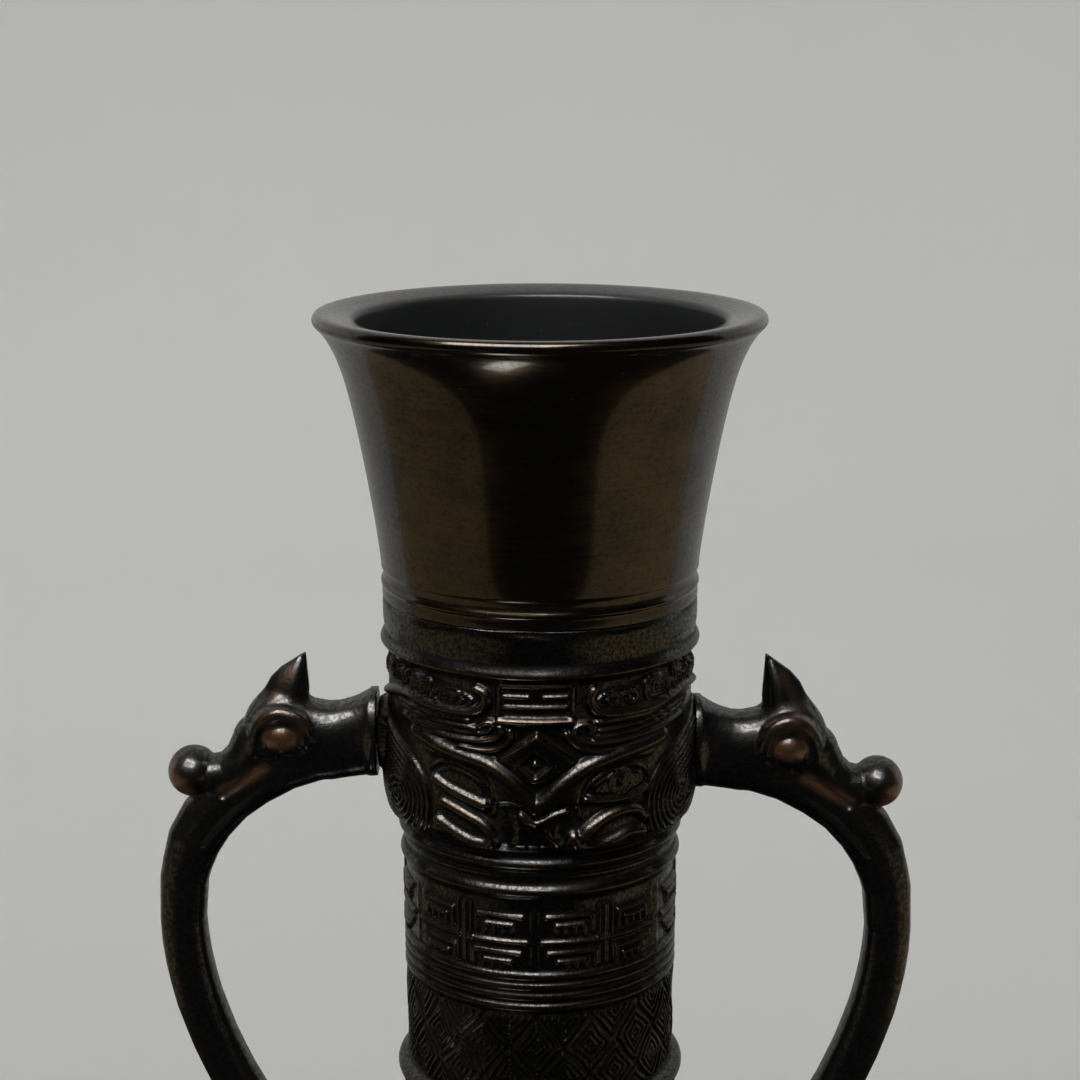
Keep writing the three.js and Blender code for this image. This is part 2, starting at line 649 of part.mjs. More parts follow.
function strapLoft(reach, lowerOut, lowerUp) {
  const shares = [
    [0.5, 0.085], [0.685, 0.125], [0.814, 0.165], [0.908, 0.212], [0.975, 0.29], [1, 0.4],
    [0.938, 0.583], [0.774, 0.765], [0.58, 0.89],
  ];
  const path = new THREE.CatmullRomCurve3([
    ...shares.map(([out, down]) => new THREE.Vector3(out * reach, 0, down * lowerUp)),
    new THREE.Vector3(lowerOut + STRAP_THICKNESS / 2, 0, lowerUp * 0.975),
    new THREE.Vector3(lowerOut, 0, lowerUp),
  ], false, 'centripetal');
  const count = 22;
  return loft(Array.from({ length: count + 1 }, (_, i) => {
    const tangent = i === count ? new THREE.Vector3(-1, 0, 0) : path.getTangentAt(i / count);
    return {
      centre: path.getPointAt(i / count),
      across: new THREE.Vector3().crossVectors(tangent, DEPTH_AXIS),
      along: DEPTH_AXIS,
      halfAcross: STRAP_THICKNESS / 2,
      halfDepth: STRAP_WIDTH / 2,
    };
  }), 12);
}

// The outline is drawn in shares of the crest's height, with its tip at 1, then squeezed thin towards the tip
function crest() {
  const outline = new THREE.Shape();
  outline.moveTo(0.857, 1);
  outline.quadraticCurveTo(1.343, 0.771, 1.457, 0.371);
  outline.quadraticCurveTo(1.571, -0.114, 1.886, -0.286);
  outline.lineTo(0.8, -0.171);
  outline.lineTo(0.8, 0.514);
  const plate = new THREE.ExtrudeGeometry(outline, {
    depth: CREST_THICKNESS / CREST_HEIGHT,
    bevelEnabled: false,
    curveSegments: 5,
  });
  plate.translate(0, 0, -CREST_THICKNESS / CREST_HEIGHT / 2).rotateX(Math.PI / 2);
  plate.scale(CREST_HEIGHT, CREST_HEIGHT, CREST_HEIGHT);
  const position = plate.getAttribute('position');
  for (let i = 0; i < position.count; i += 1) {
    const share = THREE.MathUtils.clamp((position.getZ(i) / CREST_HEIGHT - 0.23) / 0.77, 0, 1);
    const squeeze = THREE.MathUtils.lerp(1, CREST_TIP_THICKNESS / CREST_THICKNESS, share);
    position.setY(i, position.getY(i) * squeeze);
  }
  return solidOf(plate);
}

function ball(radius, out, depth, up, stretch = 1) {
  return solidOf(new THREE.SphereGeometry(radius, 12, 8).scale(1, 1, stretch).translate(out, depth, up));
}

function rivetedTenon(rootFace, seat, z, fromFace) {
  const headFrom = seat - GAP - RIVET_HEAD_HEIGHT;
  const shank = pinAlongX(TENON_RADIUS, headFrom + RIVET_HEAD_HEIGHT / 2 - fromFace, rootFace + 1 - fromFace, z);
  const head = new THREE.CylinderGeometry(RIVET_HEAD_RADIUS, RIVET_HEAD_RADIUS * 0.6, RIVET_HEAD_HEIGHT, PIN_STEPS);
  head.rotateZ(-Math.PI / 2).translate(headFrom + RIVET_HEAD_HEIGHT / 2 - fromFace, 0, z);
  return shank.add(solidOf(head));
}

function handle(side) {
  const [upper, lower] = roots(side);
  const upperFace = upper.face + GAP;
  const lowerFace = lower.face + GAP;
  const reach = HANDLE_REACH - padFace() - GAP;
  const drop = lower.z - upper.z;
  return joined([
    headLoft(),
    strapLoft(reach, lowerFace - upperFace, drop),
    crest(),
    ball(NOSE_RADIUS, NOSE_OUT, 0, -NOSE_DROP, NOSE_STRETCH),
    ball(EYEBALL_RADIUS, EYEBALL_OUT, ROOT_DEPTH / 2, EYEBALL_UP),
    ball(EYEBALL_RADIUS, EYEBALL_OUT, -ROOT_DEPTH / 2, EYEBALL_UP),
    rivetedTenon(upperFace, washerSeat(upper), 0, upperFace),
    rivetedTenon(lowerFace, washerSeat(lower), drop, upperFace),
  ]);
}

// Finishes
const castBronze = { color: 0x3a332c, roughness: 0.62, metalness: 0.9 };
const polishedBronze = { color: 0x4a4034, roughness: 0.28, metalness: 1 };
const handleBronze = { color: 0x41362c, roughness: 0.42, metalness: 0.95 };
const plateBronze = { color: 0x6b5636, roughness: 0.5, metalness: 0.95 };
const washerBronze = { color: 0x8a6d3b, roughness: 0.45, metalness: 1 };
const solderGrey = { color: 0x8c8c88, roughness: 0.5, metalness: 0.9 };

function piece(name, solid, finish) {
  const mesh = new THREE.Mesh(geometryOf(solid), new THREE.MeshStandardMaterial(finish));
  mesh.name = name;
  return mesh;
}

const vase = new THREE.Group();
vase.add(piece('vase_body', vaseBody(), castBronze));
vase.add(piece('mouth_flare', turned(mouthProfile()), polishedBronze));
vase.add(piece('mouth_seal', sealBead(), solderGrey));
vase.add(piece('base_plate', basePlate(), plateBronze));
vase.add(piece('base_solder_ring', baseFillet(), solderGrey));

for (const side of SIDES) {
  const fitted = new THREE.Group();
  fitted.rotation.z = side.turn;
  const casting = piece(`${side.name}_handle`, handle(side), handleBronze);
  casting.position.set(padFace() + side.out + GAP, 0, Z_UPPER_ROOT + side.up);
  fitted.add(casting);
  for (const root of roots(side)) {
    fitted.add(piece(`${side.name}_${root.name}_washer`, washer(root), washerBronze));
    fitted.add(piece(`${side.name}_${root.name}_seal`, solderSeal(root), solderGrey));
  }
  vase.add(fitted);
}

export default vase;
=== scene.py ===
# %% [markdown]
# A bronze vase with two beast-head handles, as a lesson in cells. The vase is cast in one piece from foot
# to neck. A turned and polished trumpet is socketed into the neck, and two castings with beast heads are
# fitted to the sides as loop handles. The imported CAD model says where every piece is. Each cell below makes
# one thing: first the large shapes, then the relief, then the finishes, then the studio.

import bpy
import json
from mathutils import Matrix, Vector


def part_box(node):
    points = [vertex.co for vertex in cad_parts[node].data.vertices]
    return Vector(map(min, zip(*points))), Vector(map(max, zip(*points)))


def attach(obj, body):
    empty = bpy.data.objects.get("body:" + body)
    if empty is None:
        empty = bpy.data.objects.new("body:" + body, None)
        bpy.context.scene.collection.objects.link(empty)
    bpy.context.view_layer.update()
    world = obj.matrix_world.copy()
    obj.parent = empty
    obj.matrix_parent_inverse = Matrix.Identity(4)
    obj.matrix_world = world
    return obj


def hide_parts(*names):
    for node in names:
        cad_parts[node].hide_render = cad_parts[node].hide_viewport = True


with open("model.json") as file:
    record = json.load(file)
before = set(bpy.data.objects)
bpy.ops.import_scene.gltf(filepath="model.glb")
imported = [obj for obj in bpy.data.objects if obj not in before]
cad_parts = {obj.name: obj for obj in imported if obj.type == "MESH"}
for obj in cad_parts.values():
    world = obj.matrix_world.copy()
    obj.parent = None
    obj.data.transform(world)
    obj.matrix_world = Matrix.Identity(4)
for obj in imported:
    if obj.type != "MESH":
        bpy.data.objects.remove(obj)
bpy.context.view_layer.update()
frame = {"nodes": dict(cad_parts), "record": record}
print("CAD nodes:", sorted(frame["nodes"]))

# %% Tools of the lesson
import json
import math

import bpy
import numpy as np
from mathutils import Vector

MM = 0.001
TURN = 2 * math.pi

# %% [markdown]
# The camera stands close and a little above the rim, and looks slightly down, as in the photograph. A
# camera's place can be found from the two ellipses of the mouth: how open they look gives the height, and
# how much larger the near side is gives the distance. The focal length is given in pixels of a 1080-pixel
# picture, and the camera wants it in millimetres on a 36 mm sensor, so it is scaled once here.

# %% Camera
PICTURE_PIXELS = 1080
FOCAL_PIXELS = 2200
SENSOR_WIDTH = 36
CAMERA_DISTANCE = 442.9
CAMERA_HEIGHT = 380
CAMERA_PITCH = 13.49

camera_data = bpy.data.cameras.new("studio_camera")
camera_data.sensor_width = SENSOR_WIDTH
camera_data.lens = FOCAL_PIXELS / PICTURE_PIXELS * SENSOR_WIDTH
camera_data.clip_start = 0.01
camera = bpy.data.objects.new("studio_camera", camera_data)
camera.location = (0, -CAMERA_DISTANCE * MM, CAMERA_HEIGHT * MM)
camera.rotation_euler = (math.radians(90 - CAMERA_PITCH), 0, 0)
bpy.context.scene.collection.objects.link(camera)
bpy.context.scene.camera = camera
print("lens:", round(camera_data.lens, 2), "mm")

# %% [markdown]
# The vase is a turned form, so everything starts from its profile: a list of radii and heights. The heights
# repeat the named stretches of the CAD model, in millimetres, so that the detailed skin lies where the CAD
# solid is.

# %% Heights and radii of the vase
Z_RIM = 320.0
Z_FOOT_EDGE = 4.5
Z_WAIST = 20.5
Z_BELLY = 72.5
Z_SHOULDER = 156.5
Z_SEAM = 263.1
R_FOOT = 46.0
R_WAIST = 37.5
R_BELLY = 58.0
R_NECK = 28.9
WALL = 2.6
ACROSS_RADIUS = 31.0
MASK_TOP_DROP = 65.2
MASK_BOTTOM_DROP = 104.2
MASK_TURN_ACROSS = -0.9
MASK_START_DROP, MASK_END_DROP = 65.4, 104.4


def ease_curve(start, end, hold_start, hold_end, count):
    """Points of a cubic curve that leaves its start and reaches its end upright."""
    rise = end[1] - start[1]
    t = np.linspace(0, 1, count)[:, None]
    p0, p3 = np.array(start, float), np.array(end, float)
    p1 = p0 + [0, hold_start * rise]
    p2 = p3 - [0, hold_end * rise]
    return (1 - t) ** 3 * p0 + 3 * (1 - t) ** 2 * t * p1 + 3 * (1 - t) * t * t * p2 + t ** 3 * p3


def respaced(points, gap):
    """The same line with its points about one gap apart."""
    points = np.array(points, float)
    length = np.concatenate([[0], np.cumsum(np.hypot(*np.diff(points, axis=0).T))])
    count = max(2, int(round(length[-1] / gap)) + 1)
    at = np.linspace(0, length[-1], count)
    return np.stack([np.interp(at, length, points[:, 0]), np.interp(at, length, points[:, 1])], 1)


FOOT_CURVE = ease_curve((R_FOOT, Z_FOOT_EDGE), (R_WAIST, Z_WAIST), 0.1, 0.45, 40)
BELLY_CURVE = ease_curve((R_WAIST, Z_WAIST), (R_BELLY, Z_BELLY), 0.32, 0.5, 80)
SHOULDER_CURVE = ease_curve((R_BELLY, Z_BELLY), (R_NECK, Z_SHOULDER), 0.42, 0.34, 120)
print("shoulder halfway:", SHOULDER_CURVE[60].round(1), "mm")

# %% [markdown]
# The photograph shows the neck in detail, so its rings are given one by one, each as a drop below the rim
# and a radius. Between the points the radius runs in a straight line, and a short running mean rounds the
# corners. The four fine rings are half round and get five points each.

# %% Rings and mouldings of the neck, as drop below the rim and radius
NECK_RINGS = [
    (56.9, 32.6), (57.6, 32.65), (58.4, 32.7), (61.5, 32.65), (63.3, 32.45), (63.9, 32.4), (64.4, 32.55),
    (64.9, 32.8), (65.4, 33.1), (65.8, 33.3), (66.2, 33.3), (66.6, 33.05), (67.0, 32.4), (67.5, 31.85),
    (68.2, 31.75), (72, 31.7), (98, 31.7), (101, 31.35), (103.4, 30.2), (104.2, 29.2), (104.8, 29.2),
    (105.3, 29.45), (105.9, 29.95), (106.5, 30.1), (107.1, 29.8), (107.7, 29.2), (108.1, 28.75),
    (108.5, 28.75), (109, 29.0), (109.5, 28.95), (110.0, 28.7), (110.7, 28.7), (111.1, 28.95),
    (111.7, 29.5), (112.3, 29.75), (112.9, 29.65), (113.4, 29.2), (113.8, 28.65), (114.4, 28.55),
    (129.2, 28.45),
]
FINE_RING_DROPS = [130.9, 133.15, 135.35, 137.7]
FINE_RING_HALF = 1.1
FINE_RING_LOW, FINE_RING_HIGH = 28.35, 29.15
NECK_FOOT = [(139.0, 28.35), (159.4, 28.2), (159.9, 28.6), (160.4, 29.8), (161.2, 30.7), (162.1, 30.95),
             (163, 30.6), (163.6, 29.6)]


def neck_profile():
    """(radius, height) of the neck, from the seam under the trumpet down to the shoulder."""
    table = list(NECK_RINGS)
    for drop in FINE_RING_DROPS:
        for share in (-1, -0.6, 0, 0.6, 1):
            high = math.sqrt(max(0, 1 - share * share))
            radius = FINE_RING_LOW + (FINE_RING_HIGH - FINE_RING_LOW) * high
            table.append((drop + share * FINE_RING_HALF, radius))
    table += NECK_FOOT
    drops, radii = np.array(table).T
    fine = np.arange(drops[0], drops[-1], 0.1)
    radius = np.interp(fine, drops, radii)
    radius = np.convolve(np.pad(radius, 3, "edge"), np.ones(7) / 7, "valid")
    return np.stack([radius, Z_RIM - fine], 1)


print("neck profile:", len(neck_profile()), "points")

# %% [markdown]
# The relief is drawn like a map. Every spot of the wall has two coordinates: how far round from the front
# middle (across, in millimetres) and how far below the rim (drop). A raised line is a list of points, and
# its height at a spot depends only on how near the spot is to the line. That keeps the carving readable: a
# brow's edge is ten points. A sculptor's tool could do it too, but numbers can be checked against the
# photograph one by one.

# %% Drawing tools for relief
def rounded(points, steps=5):
    """A smooth line through all the points, made of short cubic stretches."""
    p = np.array(points, float)
    p = np.vstack([2 * p[0] - p[1], p, 2 * p[-1] - p[-2]])
    line = []
    for i in range(1, len(p) - 2):
        a, b, c, d = p[i - 1:i + 3]
        for t in np.arange(steps) / steps:
            line.append(0.5 * (2 * b + (c - a) * t + (2 * a - 5 * b + 4 * c - d) * t ** 2
                               + (3 * b - a - 3 * c + d) * t ** 3))
    return np.vstack([line, p[-2]])


def distance_to_line(across, drop, line):
    """How far every spot is from a line of points."""
    nearest = np.full(across.shape, 1e6)
    for (a0, d0), (a1, d1) in zip(line[:-1], line[1:]):
        da, dd = a1 - a0, d1 - d0
        share = np.clip(((across - a0) * da + (drop - d0) * dd) / (da * da + dd * dd + 1e-9), 0, 1)
        nearest = np.minimum(nearest, (across - a0 - share * da) ** 2 + (drop - d0 - share * dd) ** 2)
    return np.sqrt(nearest)


def inside(across, drop, outline):
    """True where a spot lies within a closed outline."""
    odd = np.zeros(across.shape, bool)
    for (a0, d0), (a1, d1) in zip(outline, np.roll(outline, -1, axis=0)):
        crosses = (d0 > drop) != (d1 > drop)
        odd ^= crosses & (across < (a1 - a0) * (drop - d0) / (d1 - d0 + 1e-12) + a0)
    return odd


def soft_step(value):
    value = np.clip(value, 0, 1)
    return value * value * (3 - 2 * value)


def half_round(away, power=0.7):
    """Section of a ridge: one over its middle line, and nought where away reaches one."""
    return np.clip(1 - away * away, 0, 1) ** power


def raise_line(field, across, drop, points, half, height, smooth=True):
    """Adds a half-round ridge along the points, taking the higher where forms meet."""
    line = rounded(points) if smooth else np.array(points, float)
    low, high = line.min(0) - half, line.max(0) + half
    near = (across >= low[0]) & (across <= high[0]) & (drop >= low[1]) & (drop <= high[1])
    away = distance_to_line(across[near], drop[near], line) / half
    field[near] = np.maximum(field[near], height * half_round(away))


def raise_plate(field, across, drop, outline, height, edge, smooth=True):
    """Adds a flat raised plate with softened edges."""
    closed = np.vstack([outline, outline[:1]])
    line = rounded(closed, 4) if smooth else np.array(closed, float)
    away = distance_to_line(across, drop, line)
    signed = np.where(inside(across, drop, line[:-1]), away, -away)
    np.maximum(field, height * soft_step(signed / edge + 0.5), out=field)


def raise_rings(field, across, drop, centre, size, radii, half, height, squareness=2.0):
    """Adds nested rings round a centre; squareness 2 gives ovals and larger numbers rounded squares."""
    da, dd = np.abs(across - centre[0]) / size[0], np.abs(drop - centre[1]) / size[1]
    out = (da ** squareness + dd ** squareness) ** (1 / squareness)
    for radius in radii:
        away = np.abs(out - radius) * min(size) / half
        np.maximum(field, height * half_round(away), out=field)


# %% [markdown]
# The mask is a beast's face, opened flat round the neck: brows that meet in a V over the nose, almond eyes,
# nostril scrolls, and big volutes at the sides. On the real vase the model was carved by hand, so its two
# halves differ a little; they are drawn one by one here, each from its own points, and the whole face is
# repeated on the back.

# %% The beast mask, left half: lines as (across, drop), then half width and height
LEFT_LINES = {
    "horn border": ([(-42, 76.2), (-37, 74.6), (-30, 73.7), (-24, 74.2), (-18, 74.4), (-14, 74.1),
                     (-11.6, 73.2), (-10.4, 71.6), (-10.7, 70.1), (-12.3, 69.2)], 1.2, 1.2),
    "first feather": ([(-33, 75.4), (-27, 75.7), (-20, 75.9), (-14, 76.0)], 0.56, 1),
    "second feather": ([(-33, 76.2), (-27, 76.8), (-20, 77.1), (-14, 77.2), (-12.4, 77.4)], 0.56, 1),
    "third feather": ([(-32, 77), (-27, 77.9), (-20, 78.3), (-14, 78.4), (-11, 78.0), (-9.3, 77.1)], 0.56, 1),
    "hook": ([(-31, 78), (-26, 79.1), (-20, 79.6), (-14, 79.8), (-10, 79.3), (-7.7, 78.2), (-7.3, 76.9),
              (-8.6, 76.0), (-10.4, 75.9), (-11.6, 76.7)], 0.8, 1.2),
    "outer hook": ([(-16, 81.5), (-12, 81.7), (-9, 81.4), (-6.8, 80.2), (-5.6, 78.6), (-5.7, 77.2)],
                   0.8, 1.1),
    "brow edge": ([(-27, 80.6), (-24, 81.3), (-20, 82.4), (-15, 83.4), (-11.2, 84.2), (-8, 85.8),
                   (-5.5, 87.6), (-3.5, 89.9), (-2, 92), (-0.9, 93.2)], 1.9, 1.7),
    "upper lid": ([(-23.5, 87.6), (-20.6, 85.6), (-17.5, 85.2), (-14.6, 85.8), (-12, 87.0), (-10.3, 88.8)],
                  0.42, 0.95),
    "lower lid": ([(-21.6, 89.2), (-18.9, 90.4), (-16, 91.3), (-13.5, 92.1), (-10.8, 93.0)], 1.5, 1.6),
    "tear line": ([(-9.6, 88.4), (-9.2, 91), (-9.1, 94.8)], 0.5, 0.8),
    "cheek upper": ([(-19.8, 93.9), (-17, 94.7), (-14.4, 95.7), (-11.8, 96.8), (-10, 98.3), (-9.2, 100.0),
                     (-9.6, 101.3)], 1.5, 1.5),
    "cheek lower": ([(-21.2, 98.0), (-18.3, 99.3), (-15.7, 100.4), (-13.1, 101.3), (-10.4, 101.6)], 1.5, 1.5),
    "nostril line": ([(-4.9, 92.3), (-2.9, 93.0), (-1.2, 93.9)], 0.45, 0.8),
    "nose tip": ([(-3.6, 94.6), (-2.2, 95.6), (-0.8, 96.3)], 1, 1.3),
}
LEFT_PLATES = {
    "brow": ([(-25, 81.4), (-18, 83.2), (-12, 84.3), (-8, 86), (-5, 88.6), (-3, 91.4), (-0.9, 93.6),
              (-3.4, 93.2), (-6, 92.3), (-8.4, 92.4), (-9.2, 89.4), (-10.6, 87.3), (-13, 85.7), (-17, 84.6),
              (-24, 84.2)], 1.15, 1.5),
    "eyeball": ([(-21.5, 87.4), (-17.4, 86.2), (-13.6, 86.9), (-10.9, 89), (-10.6, 91.8), (-14.4, 91),
                 (-20, 89.6)], 0.75, 1.8),
    "cheek": ([(-19.5, 94.4), (-14, 96.2), (-10.4, 98.2), (-10, 100.8), (-14, 100.4), (-20.5, 98.2)],
              0.45, 0.6),
    "nostril": ([(-5.3, 94.5), (-3.3, 95.2), (-2.5, 97), (-2.3, 103.6), (-5.4, 103.8), (-6.2, 102.6),
                 (-4.7, 100), (-4.6, 97)], 0.35, 1.4),
}

# %% The beast mask, right half
RIGHT_LINES = {
    "horn border": ([(42, 73.8), (36, 73.4), (31, 73.8), (26, 74.5), (20, 74.8), (14, 74.6), (11.2, 73.7),
                     (9.9, 72.1), (9.7, 70.6), (10.4, 69.3)], 1.2, 1.2),
    "first feather": ([(11, 75.9), (16, 76.0), (22, 75.9), (29, 75.1), (36, 74.6)], 0.56, 1),
    "second feather": ([(11.4, 77.7), (16, 77.4), (22, 77.0), (29, 76.2), (36, 75.4)], 0.56, 1),
    "third feather": ([(10.5, 78.9), (16, 78.7), (22, 78.2), (29, 77.3), (36, 76.3)], 0.56, 1),
    "hook": ([(33, 78.4), (27, 79.2), (20, 79.8), (14, 80.2), (9.6, 79.9), (7.2, 78.8), (6.3, 77.4),
              (7.2, 76.3), (8.9, 76.1), (10.3, 76.9), (9.8, 77.9)], 0.8, 1.2),
    "outer hook": ([(14, 82.0), (11, 81.9), (8, 80.9), (6, 79.3), (4.9, 77.8)], 0.8, 1.1),
    "brow edge": ([(26.5, 81.3), (24, 81.8), (20, 82.4), (16, 83.0), (12.8, 83.8), (10, 84.6), (8, 85.6),
                   (5.4, 87.5), (3.2, 89.4), (1.3, 91.4), (-0.9, 93.2)], 1.9, 1.7),
    "upper lid": ([(8, 91), (9.2, 88.9), (11.1, 87.4), (13.2, 86.3), (16, 85.6), (19.2, 85.8), (21.8, 87.2),
                   (23, 88.8)], 0.42, 0.95),
    "lower lid": ([(8.8, 91.7), (12, 92.2), (16, 92.4), (19.6, 92.0), (22, 91.2)], 0.9, 1.3),
    "tear line": ([(7.6, 90.6), (7.4, 93), (7.8, 95.4)], 0.42, 0.6),
    "cheek upper": ([(8.2, 99.7), (9.6, 98.2), (11.6, 96.7), (14, 95.6), (17, 95.0), (20, 95.6),
                     (21.6, 97.2)], 1.5, 1.5),
    "cheek lower": ([(6.6, 99.6), (7.4, 101.2), (9.6, 102.3), (12, 102.1), (15, 101.0), (18, 99.9),
                     (21.4, 100.2)], 1.5, 1.5),
    "nostril line": ([(5.2, 92.5), (2.8, 93.2), (0.6, 94.0)], 0.45, 0.8),
    "nose tip": ([(-0.8, 96.3), (0.9, 95.6), (2.6, 94.6), (4.9, 93.8)], 1, 1.3),
    "scroll": ([(4.2, 95.3), (2.4, 96.4), (1.5, 98), (2.1, 99.6), (3.5, 100.8), (3.7, 102.4), (2.5, 103.4)],
               0.5, 0.6),
}
RIGHT_PLATES = {
    "brow": ([(25, 82), (18, 83.2), (12, 84.6), (8, 86.4), (4.6, 89), (1.4, 92), (-0.9, 93.6), (2.4, 93.4),
              (5, 92.6), (7.4, 92.8), (8, 89.8), (9.6, 87.6), (12, 86), (16, 84.8), (24, 84.6)], 1.15, 1.5),
    "eyeball": ([(9.6, 91.2), (10.4, 88.9), (13.2, 87.2), (17, 86.5), (21, 87.6), (21.6, 90), (17, 91.6)],
                0.75, 1.8),
    "cheek": ([(9.4, 99.6), (12.4, 97.2), (17, 95.8), (20.6, 96.8), (21, 99.4), (17.6, 99.6), (12, 101.4)],
              0.45, 0.6),
    "nostril": ([(4.4, 94.6), (1.8, 95.4), (0.5, 97), (0.3, 103.6), (4.2, 103.8), (4.6, 101), (3.2, 98.4)],
                0.35, 1.4),
}
NOSE_STRIP = [(-2.3, 96.8), (0.3, 96.8), (0.3, 103.4), (-2.3, 103.4)]
JEWEL_OUTLINE = [(-0.6, 77.6), (3.0, 80.6), (7.2, 83.6), (4.0, 85.9), (-0.8, 87.8), (-5.2, 85.7),
                 (-8.4, 83.2), (-4.4, 80.6)]
JEWEL_FOOT = [(-4.6, 85.2), (-3, 86.9), (-0.8, 87.7), (1.6, 86.9), (3.6, 85.4)]
JEWEL_MIDDLE = (-0.9, 84.1)
PUPIL = (16, 88.8)
PUPIL_RADIUS, PUPIL_RING = 1.2, 2.5
MASK_FADE_DROP, MASK_FADE = 103.2, 2.0

print("lines in the mask:", len(LEFT_LINES) + len(RIGHT_LINES))

# %% [markdown]
# Over the nose sits a small framed panel with three bars, the middle one broken, like an old divination
# sign. Left and right of it run the horns, filled with flat spirals. Both are only fractions of a
# millimetre high, and it is their hard upper edges that glitter in the light.

# %% Panel, jewel, horns and volutes
PANEL = (-8.5, 66.4, 6.8, 75.9)
PANEL_MARGIN = 0.25
PANEL_BARS = [(68.1, [(-7.0, 5.1)]), (70.3, [(-7.0, -2.1), (0.6, 5.1)]), (72.4, [(-7.0, 5.1)])]
HORN_SPIRALS = [
    ((-18.0, 72.0), (2.9, 1.0), (0.35, 0.95, 1.6), 2.0),
    ((-26.0, 71.2), (1.25, 1.0), (0.4, 1.05, 1.75, 2.4), 3.2),
    ((-33.2, 69.6), (1.2, 1.0), (0.4, 1.05, 1.75, 2.5), 2.4),
    ((-40.0, 69.8), (1.2, 1.0), (0.4, 1.05, 1.75, 2.5), 3.2),
    ((15.6, 71.7), (2.7, 1.0), (0.35, 0.95, 1.6), 2.0),
    ((25.6, 70.9), (1.5, 1.0), (0.4, 1.05, 1.75, 2.4), 3.6),
    ((33.6, 70.2), (1.25, 1.0), (0.4, 1.05, 1.75, 2.5), 2.4),
    ((40.4, 70.0), (1.2, 1.0), (0.4, 1.05, 1.75, 2.5), 3.2),
]
VOLUTES = [((-33.6, 95.6), (-21, -7.5)), ((32.6, 95.8), (21, -7.5))]
VOLUTE_REACH = 10.6
VOLUTE_PITCH = 1.22
VOLUTE_CORE = 3.4


def draw_panel(field, across, drop):
    left, top, right, bottom = PANEL
    edge = np.minimum(np.minimum(across - left, right - across), bottom - drop)
    framed = 0.6 * soft_step(edge / 1.2 + 0.5) - 0.4 * soft_step((edge - 1.1) / 0.7)
    foot_edge = 0.75 * half_round((drop - bottom + 0.6) / 0.75)
    framed *= soft_step((drop - top - 0.6) / 1.2)
    field[:] = np.where(edge > -PANEL_MARGIN, framed + foot_edge * (edge > 0), field)
    for bar_drop, stretches in PANEL_BARS:
        for start, end in stretches:
            raise_line(field, across, drop, [(start, bar_drop), (end, bar_drop)], 0.42, 0.85, smooth=False)


def draw_jewel(field, across, drop):
    raise_plate(field, across, drop, JEWEL_OUTLINE, 1.0, 1.1, smooth=False)
    ring = np.abs(across - JEWEL_MIDDLE[0]) / 1.15 + np.abs(drop - JEWEL_MIDDLE[1])
    hollow = soft_step((2.9 - ring) / 0.7)
    field[:] = field * (1 - hollow) + 0.15 * hollow
    np.maximum(field, 1.2 * half_round((ring - 3.1) / 0.62), out=field)
    np.maximum(field, 0.8 * half_round(ring / 1.1, 1), out=field)
    raise_line(field, across, drop, JEWEL_FOOT, 0.45, 1.15)


def draw_volute(field, across, drop, centre, way):
    """Nested ridges that wind round the volute's middle and run on, side by side, past the handle."""
    length = math.hypot(*way)
    wa, wd = way[0] / length, way[1] / length
    da, dd = across - centre[0], drop - centre[1]
    along = np.clip(da * wa + dd * wd, 0, None)
    away = np.hypot(da - along * wa, dd - along * wd)
    sideways = dd * wa - da * wd
    ahead = da * wa + dd * wd
    core = np.hypot(da, dd)
    full = np.arctan2(sideways, -ahead) / TURN
    bend = np.where(ahead > 0, 0.25 * np.sign(sideways), full)
    into = soft_step((VOLUTE_CORE + 1 - core) / 2)
    reach = np.hypot(np.minimum(ahead, 0) * (1 - into) + ahead * into, sideways) \
        + VOLUTE_PITCH * (bend + (full - bend) * into)
    within = soft_step((VOLUTE_REACH - away) / 0.9)
    swell = 1.25 * half_round(away / (VOLUTE_REACH + 3), 1)
    wave = 0.5 + 0.5 * np.cos(TURN * reach / VOLUTE_PITCH)
    ridges = 0.62 * (wave ** 0.8 - 0.5)
    field[:] = np.where(within > 0, np.maximum(field * (1 - within), (swell + ridges) * within), field)


def mask_relief(across, drop):
    """Height of the mask over its ground, to both sides of the front middle as far as the handles."""
    field = np.zeros(across.shape)
    for centre, size, radii, squareness in HORN_SPIRALS:
        raise_rings(field, across, drop, centre, size, radii, 0.24, 0.7, squareness)
    for centre, way in VOLUTES:
        draw_volute(field, across, drop, centre, way)
    for plates in (LEFT_PLATES, RIGHT_PLATES):
        for outline, height, edge in plates.values():
            raise_plate(field, across, drop, outline, height, edge)
    raise_plate(field, across, drop, NOSE_STRIP, 0.3, 1.0, smooth=False)
    for lines in (LEFT_LINES, RIGHT_LINES):
        for points, half, height in lines.values():
            raise_line(field, across, drop, points, half, height)
    raise_rings(field, across, drop, PUPIL, (1.0, 1.0), (PUPIL_RING,), 0.4, 0.95)
    pupil = np.hypot(across - PUPIL[0], drop - PUPIL[1]) / PUPIL_RADIUS
    np.maximum(field, 1.25 * half_round(pupil, 0.6), out=field)
    draw_jewel(field, across, drop)
    draw_panel(field, across, drop)
    return field * soft_step((MASK_FADE_DROP - drop) / MASK_FADE)


# %% [markdown]
# Below the mask come a band of squared spirals, four fine rings and a net of lozenges. Repeating ornament
# is best folded: the angle is taken modulo one panel, mirrored about the panel's middle, and only one half
# of a panel is drawn.

